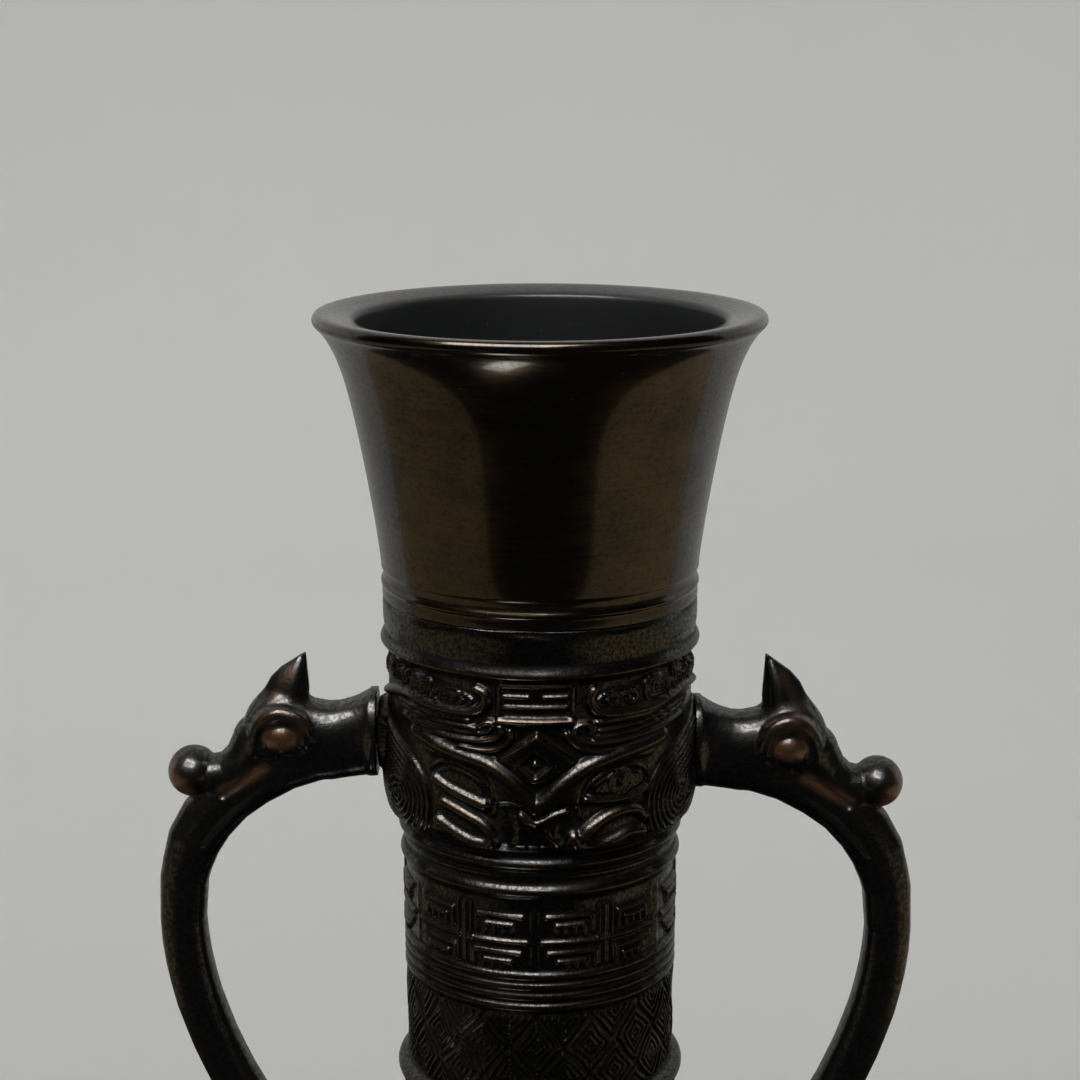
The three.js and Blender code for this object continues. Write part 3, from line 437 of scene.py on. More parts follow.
# %% Repeating bands
FRET_PANELS = 6
FRET_TOP, FRET_BOTTOM = 115.4, 129.4
FRET_SHIFT = -1.2
FRET_HALF_UPPER = [
    [(1.6, 123.4), (15.2, 123.4)], [(13.2, 121.4), (13.2, 117.9), (2.6, 117.9)],
    [(11.2, 121.6), (11.2, 119.7), (4.8, 119.7)], [(9.0, 121.4), (9.0, 120.0)],
    [(7.0, 121.5), (7.0, 120.0)], [(5.0, 121.4), (5.0, 119.9)],
]
FRET_HALF_LOWER = [
    [(13.8, 129.0), (13.8, 125.8), (3.0, 125.8)], [(11.6, 129.0), (11.6, 127.7), (5.2, 127.7)],
    [(9.4, 129.0), (9.4, 128.0)], [(7.4, 129.1), (7.4, 128.0)],
]
FRET_SEPARATOR_GAPS = (0.35, 1.6)
FRET_POSTS = [(117.2, 122.4), (124.6, 128.8)]
LOZENGES_ROUND = 16
LOZENGE_SHIFT = -0.7
LOZENGE_MIDDLE = 146.8
LOZENGE_HALF = 6.8
LOZENGE_TOP, LOZENGE_BOTTOM = 139.2, 159.2
LOZENGE_RINGS = [(0.0, 0.11, 0.5), (0.26, 0.1, 0.6), (0.52, 0.1, 0.65), (0.8, 0.1, 0.7)]


def folded(across, count, shift, round_length):
    """Distance from the nearest of a number of evenly spaced middles, with its side."""
    pitch = round_length / count
    return (across - shift + pitch / 2) % pitch - pitch / 2


def fret_relief(across, drop):
    """Six panels; the bars were cut by hand, so their depth wavers from one to the next."""
    field = np.zeros(across.shape)
    pitch = TURN * ACROSS_RADIUS / FRET_PANELS
    side = np.abs(folded(across, FRET_PANELS, FRET_SHIFT, TURN * ACROSS_RADIUS))
    for line in (*FRET_HALF_UPPER, *FRET_HALF_LOWER):
        raise_line(field, side, drop, line, 0.5, 0.95, smooth=False)
    for gap in FRET_SEPARATOR_GAPS:
        separator = [(pitch / 2 - gap, 115.9), (pitch / 2 - gap, 129)]
        raise_line(field, side, drop, separator, 0.42, 0.8, smooth=False)
    for top, foot in FRET_POSTS:
        raise_line(field, side, drop, [(0, top), (0, foot)], 1.1, 0.3, smooth=False)
    return field * (0.85 + 0.2 * np.sin(across * 0.31 + 2) * np.sin(drop * 0.7 + 1))


def lozenge_relief(across, drop):
    """A net of nested lozenges, worn and uneven, as a wax model pressed by hand comes out."""
    across = across + 0.25 * np.sin(drop * 0.9 + across * 0.2)
    drop = drop + 0.2 * np.sin(across * 0.7 + 1)
    pitch = TURN * ACROSS_RADIUS / LOZENGES_ROUND
    in_row = (drop - LOZENGE_MIDDLE + LOZENGE_HALF) % (2 * LOZENGE_HALF) - LOZENGE_HALF
    here = np.abs(folded(across, LOZENGES_ROUND, LOZENGE_SHIFT, TURN * ACROSS_RADIUS)) / (pitch / 2)
    size = here + np.abs(in_row) / LOZENGE_HALF
    size = np.where(size > 1, 2 - size, size)
    field = np.zeros(across.shape)
    for ring, half, height in LOZENGE_RINGS:
        np.maximum(field, height * half_round((size - ring) / half), out=field)
    worn = 0.8 + 0.25 * np.sin(across * 0.23 + 0.7) * np.sin(drop * 0.4)
    edge = np.minimum(drop - LOZENGE_TOP, LOZENGE_BOTTOM - drop)
    return field * worn * soft_step(edge / 0.5)


def seam_relief(across, drop):
    """Ragged as-cast skin just under the polished ring, and flow lines in the plain band."""
    slow = np.sin(across * 0.21 + 1.3) + 0.6 * np.sin(across * 0.47 + 0.4) + 0.35 * np.sin(across * 1.3)
    edge = 58.0 + 0.35 * slow
    torn = -0.35 * soft_step((edge - drop) / 0.5) * soft_step(0.35 + 0.3 * np.sin(across * 0.33 + 2.2))
    wander = drop + 0.35 * np.sin(across * 0.25) + 0.2 * np.sin(across * 0.8 + 2)
    side = soft_step((across - 18) / 12) + 0.3 * soft_step((-across - 26) / 12)
    flow = 0.05 * np.sin(wander * 4.6) * side * soft_step((drop - 57.4) / 1) * soft_step((65 - drop) / 0.8)
    return torn + flow


print("panels of the fret band:", FRET_PANELS, "lozenges round the neck:", LOZENGES_ROUND)

# %% [markdown]
# Foot, belly and shoulder are below the picture's edge, so they are guesses in the manner of such vases: a
# second mask band on the belly, hanging blades on the shoulder, rows of beads between them, and a squared
# fret on the foot.

# %% Ornament of the lower part
BLADES = 12
BLADE_TOP, BLADE_TIP = 152.0, 108.0
BLADE_OUTLINES = [(0.6, 0.55, 0.75), (2.3, 0.4, 0.55), (3.9, 0.4, 0.55), (5.6, 0.5, 0.5), (7.4, 0.5, 0.5)]
BELLY_BAND = (43.0, 101.0)
BELLY_SCALE = 0.62
BELLY_GROUND_INSET = 0.3
BEAD_ROWS = [(104.6, 96, 1.0), (39.6, 84, 0.9), (154.6, 60, 0.8)]
FOOT_FRET = (6.2, 13.6)
FOOT_FRET_PITCH = 12.0
FOOT_HOOK = [(1, 6.6), (1, 0.9), (10, 0.9), (10, 5.6), (3.6, 5.6), (3.6, 3.0), (7.4, 3.0), (7.4, 4.0)]


def blade_relief(turned, height):
    """Hanging blades with nested outlines; turned is the share of a whole turn."""
    pitch = 1 / BLADES
    side = np.abs((turned + pitch / 2) % pitch - pitch / 2) / (pitch / 2)
    down = (BLADE_TOP - height) / (BLADE_TOP - BLADE_TIP)
    width = 0.92 * np.sqrt(np.clip(1 - down ** 1.7, 0, 1))
    depth = np.minimum((width - side) * 9, np.minimum(down * 40, (1.0 - down) * 40))
    field = np.zeros(side.shape)
    for ring, half, high in BLADE_OUTLINES:
        field = np.maximum(field, high * half_round((depth - ring) / half, 0.6))
    spine = 0.8 * half_round(side / 0.08, 1) * (down > 0.1) * (down < 0.9)
    return np.where((down > 0) & (down < 1), np.maximum(field, spine), 0)


def bead_relief(turned, height, profile_radius):
    field = np.zeros(turned.shape)
    for bead_height, count, radius in BEAD_ROWS:
        across = ((turned * count + 0.5) % 1 - 0.5) * TURN * profile_radius / count
        away = np.hypot(across, height - bead_height) / radius
        field = np.maximum(field, radius * 0.85 * half_round(away, 0.5))
    return field


def foot_relief(turned, height):
    """A running squared hook on the foot."""
    count = round(TURN * R_FOOT / FOOT_FRET_PITCH)
    across = ((turned * count) % 1) * FOOT_FRET_PITCH
    drop = FOOT_FRET[1] - height
    field = np.zeros(turned.shape)
    raise_line(field, across, drop, FOOT_HOOK, 0.5, 0.6, smooth=False)
    return field


# %% [markdown]
# The skin of the casting is one closed grid: columns go round, rows go up the outside, over the seam and
# down the inside. Every point first gets its place on the turned profile and is then pushed out along the
# profile's normal by the height of the relief. One more number is kept at every point for the finish: how
# far it stands out from what is round it (edge), because hands rub the patina off exactly there. Under each
# handle the relief fades into a flat pad.

# %% The casting: profile rows
COLUMNS = 720
ROW_GAP_FINE, ROW_GAP_COARSE = 0.33, 0.8
PAD_HEIGHTS = {"left": (232.2, 129.2), "right": (229.8, 126.8)}
PAD_RADII = (7.2, 4.8)
PAD_FACES = {"left": 33.9, "right": 32.1}
LOWER_PAD_PROUD = 0.6
NECK_BORE, MASK_BORE, SPIGOT_SEAT = 26.3, 29.3, 31.1
UNDERCUT_DROP, UNDERCUT_HALF, UNDERCUT_DEPTH = 68.2, 1.6, 0.7
MELTED_SHARE = 0.3
MASK_GAIN = 1.2
SEAM_START_DROP, SEAM_END_DROP = 57.0, 66
SHOULDER_TOP = 157
PAD_FADE, PAD_BLEND = 1.2, 1.5

standing_edge = [(41.0, 0.0), (45.6, 0.0), (46.0, 0.4)]
outer_lower = np.vstack([standing_edge, FOOT_CURVE, BELLY_CURVE[1:], SHOULDER_CURVE[1:]])
outer_lower = outer_lower[outer_lower[:, 1] < neck_profile()[-1, 1] - 0.2]
outer = np.vstack([respaced(outer_lower, ROW_GAP_COARSE), respaced(neck_profile()[::-1], ROW_GAP_FINE)])
inner_curve = np.vstack([SHOULDER_CURVE[::-1], BELLY_CURVE[::-1]]) - [WALL, 0]
inner_curve = inner_curve[inner_curve[:, 1] > 24]
inner = [(SPIGOT_SEAT + 0.6, Z_SEAM), (SPIGOT_SEAT, Z_SEAM - 0.6), (SPIGOT_SEAT, 253.8), (MASK_BORE, 253.4),
         (MASK_BORE, 221.8), (NECK_BORE, 217.2), (NECK_BORE, 158.0), *inner_curve, (29.0, 23.5), (29.0, 20.5),
         (34.0, 20.3), (34.0, 15.0), (41.0, 4.5)]
profile = np.vstack([outer, respaced(inner, 3.2)])
outer_count = len(outer)
print("rows outside:", outer_count, "of", len(profile))

# %% The casting: relief of every spot
turned = (np.arange(COLUMNS) + 0.5) / COLUMNS - 0.5
TURNED, HEIGHT = np.meshgrid(turned, outer[:, 1])
RADIUS = np.repeat(outer[:, 0][:, None], COLUMNS, 1)
half_turn = (TURNED + 0.25) % 0.5 - 0.25
across_all = half_turn * TURN * ACROSS_RADIUS
across_round = TURNED * TURN * ACROSS_RADIUS
drop_all = Z_RIM - HEIGHT


def in_rows(field, low_drop, high_drop, draw, across, drop):
    """Adds what draw makes, but only in the rows between two drops."""
    rows = (drop[:, 0] > low_drop) & (drop[:, 0] < high_drop)
    field[rows] += draw(across[rows], drop[rows])


relief = np.zeros(RADIUS.shape)
in_rows(relief, SEAM_START_DROP, SEAM_END_DROP, seam_relief, across_round, drop_all)
in_rows(relief, MASK_START_DROP, MASK_END_DROP, mask_relief, across_all, drop_all)
in_rows(relief, FRET_TOP, FRET_BOTTOM, fret_relief, across_round, drop_all)
in_rows(relief, LOZENGE_TOP, LOZENGE_BOTTOM, lozenge_relief, across_round, drop_all)

belly = (HEIGHT[:, 0] > BELLY_BAND[0]) & (HEIGHT[:, 0] < BELLY_BAND[1])
belly_drop = MASK_TOP_DROP + (BELLY_BAND[1] - HEIGHT[belly]) * (MASK_BOTTOM_DROP - MASK_TOP_DROP) \
    / (BELLY_BAND[1] - BELLY_BAND[0])
in_band = np.minimum(HEIGHT[belly] - BELLY_BAND[0], BELLY_BAND[1] - HEIGHT[belly])
relief[belly] = mask_relief(across_all[belly], belly_drop) * BELLY_SCALE * soft_step(in_band)
relief[belly] -= BELLY_GROUND_INSET * soft_step(in_band / 1.5)
relief += blade_relief(TURNED, HEIGHT)
relief += np.where(HEIGHT < SHOULDER_TOP, bead_relief(TURNED, HEIGHT, RADIUS), 0)
foot = (HEIGHT[:, 0] > FOOT_FRET[0]) & (HEIGHT[:, 0] < FOOT_FRET[1])
relief[foot] += foot_relief(TURNED[foot], HEIGHT[foot])
to_side = soft_step((np.abs(across_all - MASK_TURN_ACROSS) - 14) / 18)
under_ledge = np.clip(1 - np.abs(drop_all - UNDERCUT_DROP) / UNDERCUT_HALF, 0, 1)
relief -= np.where(drop_all < 70, UNDERCUT_DEPTH * to_side * under_ledge, 0)
print("highest relief:", round(float(relief.max()), 2), "mm")

# %% The casting: flat pads under the handles
for side, sign in (("left", -1), ("right", 1)):
    for pad_height, pad_radius in zip(PAD_HEIGHTS[side], PAD_RADII):
        sideways = RADIUS * np.abs(((TURNED - 0.25 * sign + 0.5) % 1 - 0.5)) * TURN
        near = soft_step((pad_radius + PAD_FADE - np.hypot(sideways, HEIGHT - pad_height)) / PAD_FADE)
        relief = relief * (1 - near)


def blurred(field, reach):
    """A box blur that wraps round the vase."""
    kernel = np.ones(2 * reach + 1) / (2 * reach + 1)
    wrapped = np.pad(field, ((reach, reach), (reach, reach)), "wrap")
    wrapped[:reach], wrapped[-reach:] = wrapped[reach], wrapped[-reach - 1]
    rows = np.apply_along_axis(lambda line: np.convolve(line, kernel, "valid"), 0, wrapped)
    return np.apply_along_axis(lambda line: np.convolve(line, kernel, "valid"), 1, rows)


relief = (1 - MELTED_SHARE) * relief + MELTED_SHARE * blurred(relief, 1)
relief[drop_all < MASK_END_DROP] *= MASK_GAIN
stands_out = relief + RADIUS - blurred(relief + RADIUS, 4)


# %% [markdown]
# All meshes of the lesson are made by one short function: it fills the mesh's arrays directly, which takes a
# moment even for half a million points, where adding faces one at a time would take minutes. It also writes
# a plain UV map, which other programs need when they bake the finish into a picture.

# %% One function for every mesh
def grid_faces(rows, columns, closed_rows=True):
    """Quads of a grid that wraps round its columns, and round its rows too where it is closed."""
    row = np.arange(rows if closed_rows else rows - 1)
    a = row[:, None] * columns + np.arange(columns)[None, :]
    b = row[:, None] * columns + (np.arange(columns)[None, :] + 1) % columns
    c = ((row[:, None] + 1) % rows) * columns + (np.arange(columns)[None, :] + 1) % columns
    d = ((row[:, None] + 1) % rows) * columns + np.arange(columns)[None, :]
    return np.stack([a, b, c, d], -1).reshape(-1, 4)


def make_mesh(name, points, faces, corner_uv=None, **numbers):
    """A smooth object from points in millimetres and faces, with named numbers at its points."""
    mesh = bpy.data.meshes.new(name)
    points = np.asarray(points, np.float32) * MM
    faces = np.asarray(faces, np.int32)
    mesh.vertices.add(len(points))
    mesh.vertices.foreach_set("co", points.ravel())
    mesh.loops.add(faces.size)
    mesh.loops.foreach_set("vertex_index", faces.ravel())
    mesh.polygons.add(len(faces))
    mesh.polygons.foreach_set("loop_start", np.arange(0, faces.size, faces.shape[1], dtype=np.int32))
    mesh.polygons.foreach_set("use_smooth", np.ones(len(faces), bool))
    mesh.update(calc_edges=True)
    for label, values in numbers.items():
        attribute = mesh.attributes.new(label, "FLOAT", "POINT")
        attribute.data.foreach_set("value", np.asarray(values, np.float32).ravel())
    if corner_uv is not None:
        layer = mesh.uv_layers.new(name="OFBake")
        layer.uv.foreach_set("vector", np.asarray(corner_uv, np.float32).ravel())
    thing = bpy.data.objects.new(name, mesh)
    bpy.context.scene.collection.objects.link(thing)
    return thing


UV_MARGIN = 0.005


def grid_uv(rows, columns):
    """UV corners for a grid: across the columns and up the rows, inside a small margin."""
    u = np.arange(columns) / columns
    v = np.arange(rows) / rows
    u0, v0 = np.meshgrid(u, v)
    corners = [(u0, v0), (u0 + 1 / columns, v0), (u0 + 1 / columns, v0 + 1 / rows), (u0, v0 + 1 / rows)]
    return UV_MARGIN + (1 - 2 * UV_MARGIN) * np.stack([np.stack(c, -1) for c in corners], 2)


def turned_points(profile_rows, columns, push=None):
    """Points of a turned form, starting at the back and going round by the left side."""
    angle = ((np.arange(columns) + 0.5) / columns - 0.5) * TURN
    radius = np.repeat(profile_rows[:, 0][:, None], columns, 1)
    height = np.repeat(profile_rows[:, 1][:, None], columns, 1)
    if push is not None:
        slope = np.gradient(profile_rows, axis=0)
        slope /= np.hypot(*slope.T)[:, None] + 1e-9
        radius = radius + push * slope[:, 1:2]
        height = height - push * slope[:, 0:1]
    return np.stack([radius * np.sin(angle), -radius * np.cos(angle), height], -1)


# %% The casting: mesh
push = np.zeros((len(profile), COLUMNS))
push[:outer_count] = relief
push[:outer_count] *= soft_step((outer[:, 1:2] - 1.0) / 2)
body_points = turned_points(profile, COLUMNS, push)
for side, sign in (("left", -1), ("right", 1)):
    lower_face = float(np.interp(PAD_HEIGHTS[side][1], outer[:, 1], outer[:, 0])) + LOWER_PAD_PROUD
    faces_out = (PAD_FACES[side], lower_face)
    for pad_height, pad_radius, face in zip(PAD_HEIGHTS[side], PAD_RADII, faces_out):
        p = body_points[:outer_count]
        away = np.hypot(p[..., 1], p[..., 2] - pad_height)
        on_side = (p[..., 0] * sign > 20) & (away < pad_radius + PAD_BLEND)
        blend = soft_step((pad_radius + PAD_BLEND - away) / PAD_BLEND)
        p[..., 0] = np.where(on_side, p[..., 0] * (1 - blend) + sign * face * blend, p[..., 0])
padding = np.zeros((len(profile) - outer_count, COLUMNS))
body = make_mesh("casting_skin", body_points.reshape(-1, 3), grid_faces(len(profile), COLUMNS),
                 grid_uv(len(profile), COLUMNS), edge=np.vstack([stands_out, padding]))
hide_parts("vase_body")
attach(body, "root")
print("casting:", len(body.data.vertices), "points")

# %% [markdown]
# The trumpet is turned on a lathe, so a profile swept round is the true way to make it. Its flare is one
# formula: it opens slowly at first and then fast, up to the rim. The lip is a nearly flat ring that dips
# inward and meets the flare in a thin rounded edge. A cove and a spigot at the lower end hide the joint
# with the neck.

# %% The trumpet mouth
R_THROAT, R_MOUTH = 32.9, 46.0
FLARE_START = 50.3
MOUTH_COLUMNS = 360


def flare(drop):
    """Outer radius of the trumpet at a drop below the rim."""
    share = drop / FLARE_START
    return R_THROAT + (R_MOUTH - R_THROAT) * (0.68 * (1 - share) ** 1.2 + 0.34 * np.exp(-9.5 * share))


flare_drops = np.linspace(1.6, FLARE_START, 70)
flare_line = np.stack([flare(flare_drops), flare_drops], 1)
LIP = [(37.1, 3.4), (37.15, 1.4), (37.3, 0.4), (37.8, -0.15), (39.0, -0.6), (41.2, -1.15), (43.2, -1.55),
       (44.6, -1.6), (45.4, -1.35), (45.85, -0.8), (46.0, -0.1), (45.9, 0.4), (45.5, 0.95), (45.15, 1.25)]
COVE = [(32.88, 50.7), (32.6, 51.1), (32.5, 51.9), (32.5, 52.6), (32.62, 53.0), (32.8, 53.35), (32.95, 53.75),
        (32.9, 54.1), (32.75, 54.4), (32.7, 54.8), (32.72, 56.6), (32.4, 56.85)]
outer_mouth = np.vstack([rounded(LIP, 3), flare_line, rounded(COVE, 4)])
SPIGOT = [(30.8, 56.95), (30.8, 65.9), (29.3, 66.0), (29.3, 58.0)]
inner_drops = np.linspace(FLARE_START, 5, 50)
inner_mouth = np.stack([np.minimum(flare(inner_drops) - WALL, LIP[0][0]), inner_drops], 1)
mouth_profile = np.vstack([outer_mouth, SPIGOT, inner_mouth])[::-1] * [1, -1] + [0, Z_RIM]
mouth_skin = np.minimum(flare(np.clip(Z_RIM - mouth_profile[:, 1], 0.5, FLARE_START)), LIP[0][0] + 1.8)
mouth_within = soft_step((mouth_skin - mouth_profile[:, 0]) / 1.6)
mouth_points = turned_points(mouth_profile, MOUTH_COLUMNS)
mouth = make_mesh("trumpet_mouth", mouth_points.reshape(-1, 3), grid_faces(len(mouth_profile), MOUTH_COLUMNS),
                  grid_uv(len(mouth_profile), MOUTH_COLUMNS), within=np.repeat(mouth_within, MOUTH_COLUMNS))
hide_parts("mouth_flare")
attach(mouth, "root")
print("trumpet rows:", len(mouth_profile))

# %% [markdown]
# The handles are cast from one clay model: a beast's head bites the neck's wall and its long tongue bends
# down into a strap that meets the shoulder. Forms that melt into each other like clay are easiest as a
# distance field: for any point in space a formula says how far outside the shape it is, and shapes are
# joined by taking the smaller number, a little rounded where they meet. A net of faces is then stretched
# over the places where the number is nought. Metaballs or a sculpt would be the other ways; the field wins
# because each form keeps its own measured numbers.

# %% The handle model: forms as (out from the axis, drop below the rim), in millimetres
STRAP_SECTION = 2.7
HEAD_SECTION = 2.3
STRAP = [  # out, drop, half thickness, half depth
    (33.3, 88.9, 8.8, 7.3), (35.2, 89.5, 8.45, 6.95), (37.5, 90.0, 8.2, 6.65), (40.0, 90.5, 8.05, 6.5),
    (43.5, 91.4, 7.7, 6.5), (47.0, 92.5, 7.0, 6.4), (53.5, 95.5, 6.2, 5.7),
    (60.0, 99.2, 6.1, 5.1), (65.5, 103.3, 6.0, 4.9), (70.0, 108.3, 6.0, 4.8), (72.8, 113.0, 5.8, 4.75),
    (74.5, 118.0, 5.35, 4.7), (75.35, 121.4, 5.15, 4.65), (75.95, 130.6, 4.9, 4.6), (75.7, 135.3, 4.95, 4.6),
    (75.15, 140.0, 4.95, 4.6), (74.3, 144.6, 4.95, 4.6), (73.2, 149.4, 4.95, 4.6), (71.7, 154.1, 4.95, 4.6),
    (70.1, 158.8, 4.95, 4.6), (68.1, 163.6, 4.95, 4.65), (66.05, 168.2, 4.95, 4.7), (63.2, 173.6, 4.95, 4.75),
    (58.6, 180.0, 4.95, 4.9), (53.6, 185.6, 5.0, 5.1), (48.4, 189.7, 5.2, 5.3), (42.9, 192.0, 5.5, 5.5),
]
HEAD = [
    (44.0, 89.6, 7.0, 6.6), (48.5, 89.0, 7.2, 7.0), (54.0, 87.6, 7.6, 7.1), (58.5, 90.7, 5.6, 6.0),
    (61.6, 95.2, 4.6, 5.4), (65.0, 97.8, 4.1, 5.2), (68.0, 98.5, 4.2, 5.2),
]
NOSE_BALL = ((72.6, 97.7), 5.35, 6.2)
CREST = [
    (47.6, 79.6), (48.2, 71.4), (50.5, 72.9), (53.5, 74.8), (55.6, 76.9), (57.3, 79.9), (58.6, 82.8),
    (59.6, 85.4), (60.3, 87.5), (61.6, 90.5), (63.3, 92.6), (65.0, 93.7), (64.0, 97.0), (56.0, 93.0),
    (49.0, 88.0),
]
CREST_BACK = [(47.6, 82.0), (48.2, 71.4)]
CREST_FRONT = CREST[1:12]
BROW = [(47.8, 88.8, 5.9), (48.5, 86.0, 6.3), (50.6, 83.9, 6.5), (53.6, 83.3, 6.3), (56.8, 84.8, 5.8),
        (58.4, 88.0, 5.2), (58.6, 91.3, 4.6)]
EYEBALL = ((53.1, 88.9, 5.1), (4.0, 3.8, 3.1))
LID_GROOVE = [(48.9, 89.4, 7.5), (49.8, 86.7, 7.8), (53.0, 85.1, 7.9), (56.2, 86.2, 7.4), (57.3, 88.9, 6.9),
              (57.3, 92.0, 6.3)]
UNDER_EYE = [(48.9, 91.2, 7.3), (51.6, 93.2, 7.4), (55.4, 93.3, 6.8)]
MOUTH_LINE = [(50.5, 95.6, 6.9), (55.0, 95.3, 6.6), (59.0, 96.5, 5.9), (62.4, 99.2, 5.4), (66.0, 101.6, 5.2)]
JAW_RIDGE = [(53.1, 97.9, 3.9), (55.6, 99.4, 3.9), (59.0, 102.0, 3.9), (63.3, 105.8, 3.9), (67.1, 109.8, 3.8),
             (69.8, 113.4, 3.7)]
UPPER_FLANGE = (33.3, 34.2, 88.8, 8.8, 7.3)
LOWER_FLANGE = (42.9, 44.3, 192.0, 6.1, 6.0)
HALFWAY_DROP = 140


def joined(a, b, softness):
    """The smaller of two distances, rounded where the shapes meet."""
    share = np.clip(0.5 + 0.5 * (b - a) / softness, 0, 1)
    return b * (1 - share) + a * share - softness * share * (1 - share)


def cut_away(a, b, softness):
    return -joined(-a, b, softness)


def swept(out, deep, drop, stations, power):
    """Distance to a bent bar with a squarish oval section; stations as in STRAP."""
    out, drop = np.broadcast_arrays(out, drop)
    nearest = np.full(out.shape, 1e9)
    thick, wide = np.ones(out.shape), np.ones(out.shape)
    for (x0, z0, a0, b0), (x1, z1, a1, b1) in zip(stations[:-1], stations[1:]):
        dx, dz = x1 - x0, z1 - z0
        share = np.clip(((out - x0) * dx + (drop - z0) * dz) / (dx * dx + dz * dz), 0, 1)
        thickness = a0 + share * (a1 - a0)
        away = np.hypot(out - x0 - share * dx, drop - z0 - share * dz)
        better = away / thickness < nearest
        nearest = np.where(better, away / thickness, nearest)
        thick = np.where(better, thickness, thick)
        wide = np.where(better, b0 + share * (b1 - b0), wide)
    level = (nearest ** power + np.abs(deep / wide) ** power) ** (1 / power)
    return (level - 1) * np.minimum(thick, wide)


def along_line(out, deep, drop, points):
    """Distance to a line of points in space, mirrored front to back."""
    deep = np.abs(deep)
    nearest = np.full(np.broadcast(out, deep, drop).shape, 1e6)
    for (x0, z0, y0), (x1, z1, y1) in zip(points[:-1], points[1:]):
        dx, dy, dz = x1 - x0, y1 - y0, z1 - z0
        along = (out - x0) * dx + (deep - y0) * dy + (drop - z0) * dz
        share = np.clip(along / (dx * dx + dy * dy + dz * dz), 0, 1)
        nearest = np.minimum(nearest, (out - x0 - share * dx) ** 2 + (deep - y0 - share * dy) ** 2
                             + (drop - z0 - share * dz) ** 2)
    return np.sqrt(nearest)


def crest_distance(out, deep, drop):
    """The comb on the forehead: thin at its edge, thicker inward, with a crease near its back."""
    out, drop = np.broadcast_arrays(out, drop)
    outline = np.array(CREST)
    away = distance_to_line(out, drop, np.vstack([outline, outline[:1]]))
    flat = np.where(inside(out, drop, outline), -away, away)
    from_back = distance_to_line(out, drop, np.array(CREST_BACK))
    from_front = distance_to_line(out, drop, rounded(CREST_FRONT, 3))
    within = joined(from_back * 1.25, from_front * 0.72, 2.4)
    half = 0.6 + 5.0 * (1 - np.exp(-np.clip(within, 0, None) / 3.2))
    side = (np.abs(deep) - half) * 0.6
    return np.maximum(flat, side)


def ball_distance(out, deep, drop, centre, radii):
    """Distance to an oval ball; the radii are along out, drop and deep."""
    scaled = np.sqrt(((out - centre[0]) / radii[0]) ** 2 + (deep / radii[2]) ** 2
                     + ((drop - centre[1]) / radii[1]) ** 2)
    return (scaled - 1) * min(radii)


def flange_distance(out, deep, drop, flange):
    low, high, middle, tall, wide = flange
    ring = (np.sqrt(((drop - middle) / tall) ** 2 + (deep / wide) ** 2) - 1) * wide
    return np.maximum(np.maximum(low - out, out - high), ring)


def handle_base(out, deep, drop):
    """The large forms: strap, head, nose, crest and the two flanges."""
    shape = swept(out, deep, drop, STRAP, STRAP_SECTION)
    shape = joined(shape, swept(out, deep, drop, HEAD, HEAD_SECTION), 0.8)
    (nose_out, nose_drop), radius, width = NOSE_BALL
    nose = ball_distance(out, deep, drop, (nose_out, nose_drop), (radius, radius, width))
    shape = joined(shape, nose, 0.35)
    shape = joined(shape, crest_distance(out, deep, drop), 1.6)
    shape = joined(shape, flange_distance(out, deep, drop, UPPER_FLANGE), 2.0)
    shape = joined(shape, flange_distance(out, deep, drop, LOWER_FLANGE), 0.6)
    return np.maximum(shape, np.where(drop < HALFWAY_DROP, UPPER_FLANGE[0] - out, LOWER_FLANGE[0] - out))


def handle_shape(out, deep, drop):
    """The whole handle: large forms, then brow, eye, lids, mouth and jaw."""
    shape = handle_base(out, deep, drop)
    shape = joined(shape, along_line(out, deep, drop, rounded(BROW, 3)) - 1.65, 1.1)
    shape = joined(shape, along_line(out, deep, drop, JAW_RIDGE) - 1.3, 0.5)
    shape = cut_away(shape, along_line(out, deep, drop, MOUTH_LINE) - 1.0, 0.4)
    shape = cut_away(shape, along_line(out, deep, drop, UNDER_EYE) - 0.8, 0.5)
    (eye_out, eye_drop, eye_deep), radii = EYEBALL
    eye = ball_distance(out, np.abs(deep) - eye_deep, drop, (eye_out, eye_drop), radii)
    shape = joined(shape, eye, 0.25)
    return cut_away(shape, along_line(out, deep, drop, rounded(LID_GROOVE, 3)) - 0.5, 0.25)


# %% A net of faces over a distance field
NET_STEP = 0.38
NET_LOW, NET_HIGH = (32.6, -8.6, 69.5), (82.6, 8.6, 200.0)
NET_BAND = 3.0
PULL_ROUNDS, PULL_LIMIT = 2, 0.25
SMOOTHING_ROUNDS = 6


def field_normal(points):
    """Direction in which the field grows fastest, with its steepness."""
    step = 0.05
    columns = []
    for axis in range(3):
        shift = np.zeros(3)
        shift[axis] = step
        columns.append((handle_shape(*(points + shift).T) - handle_shape(*(points - shift).T)) / (2 * step))
    return np.stack(columns, 1)


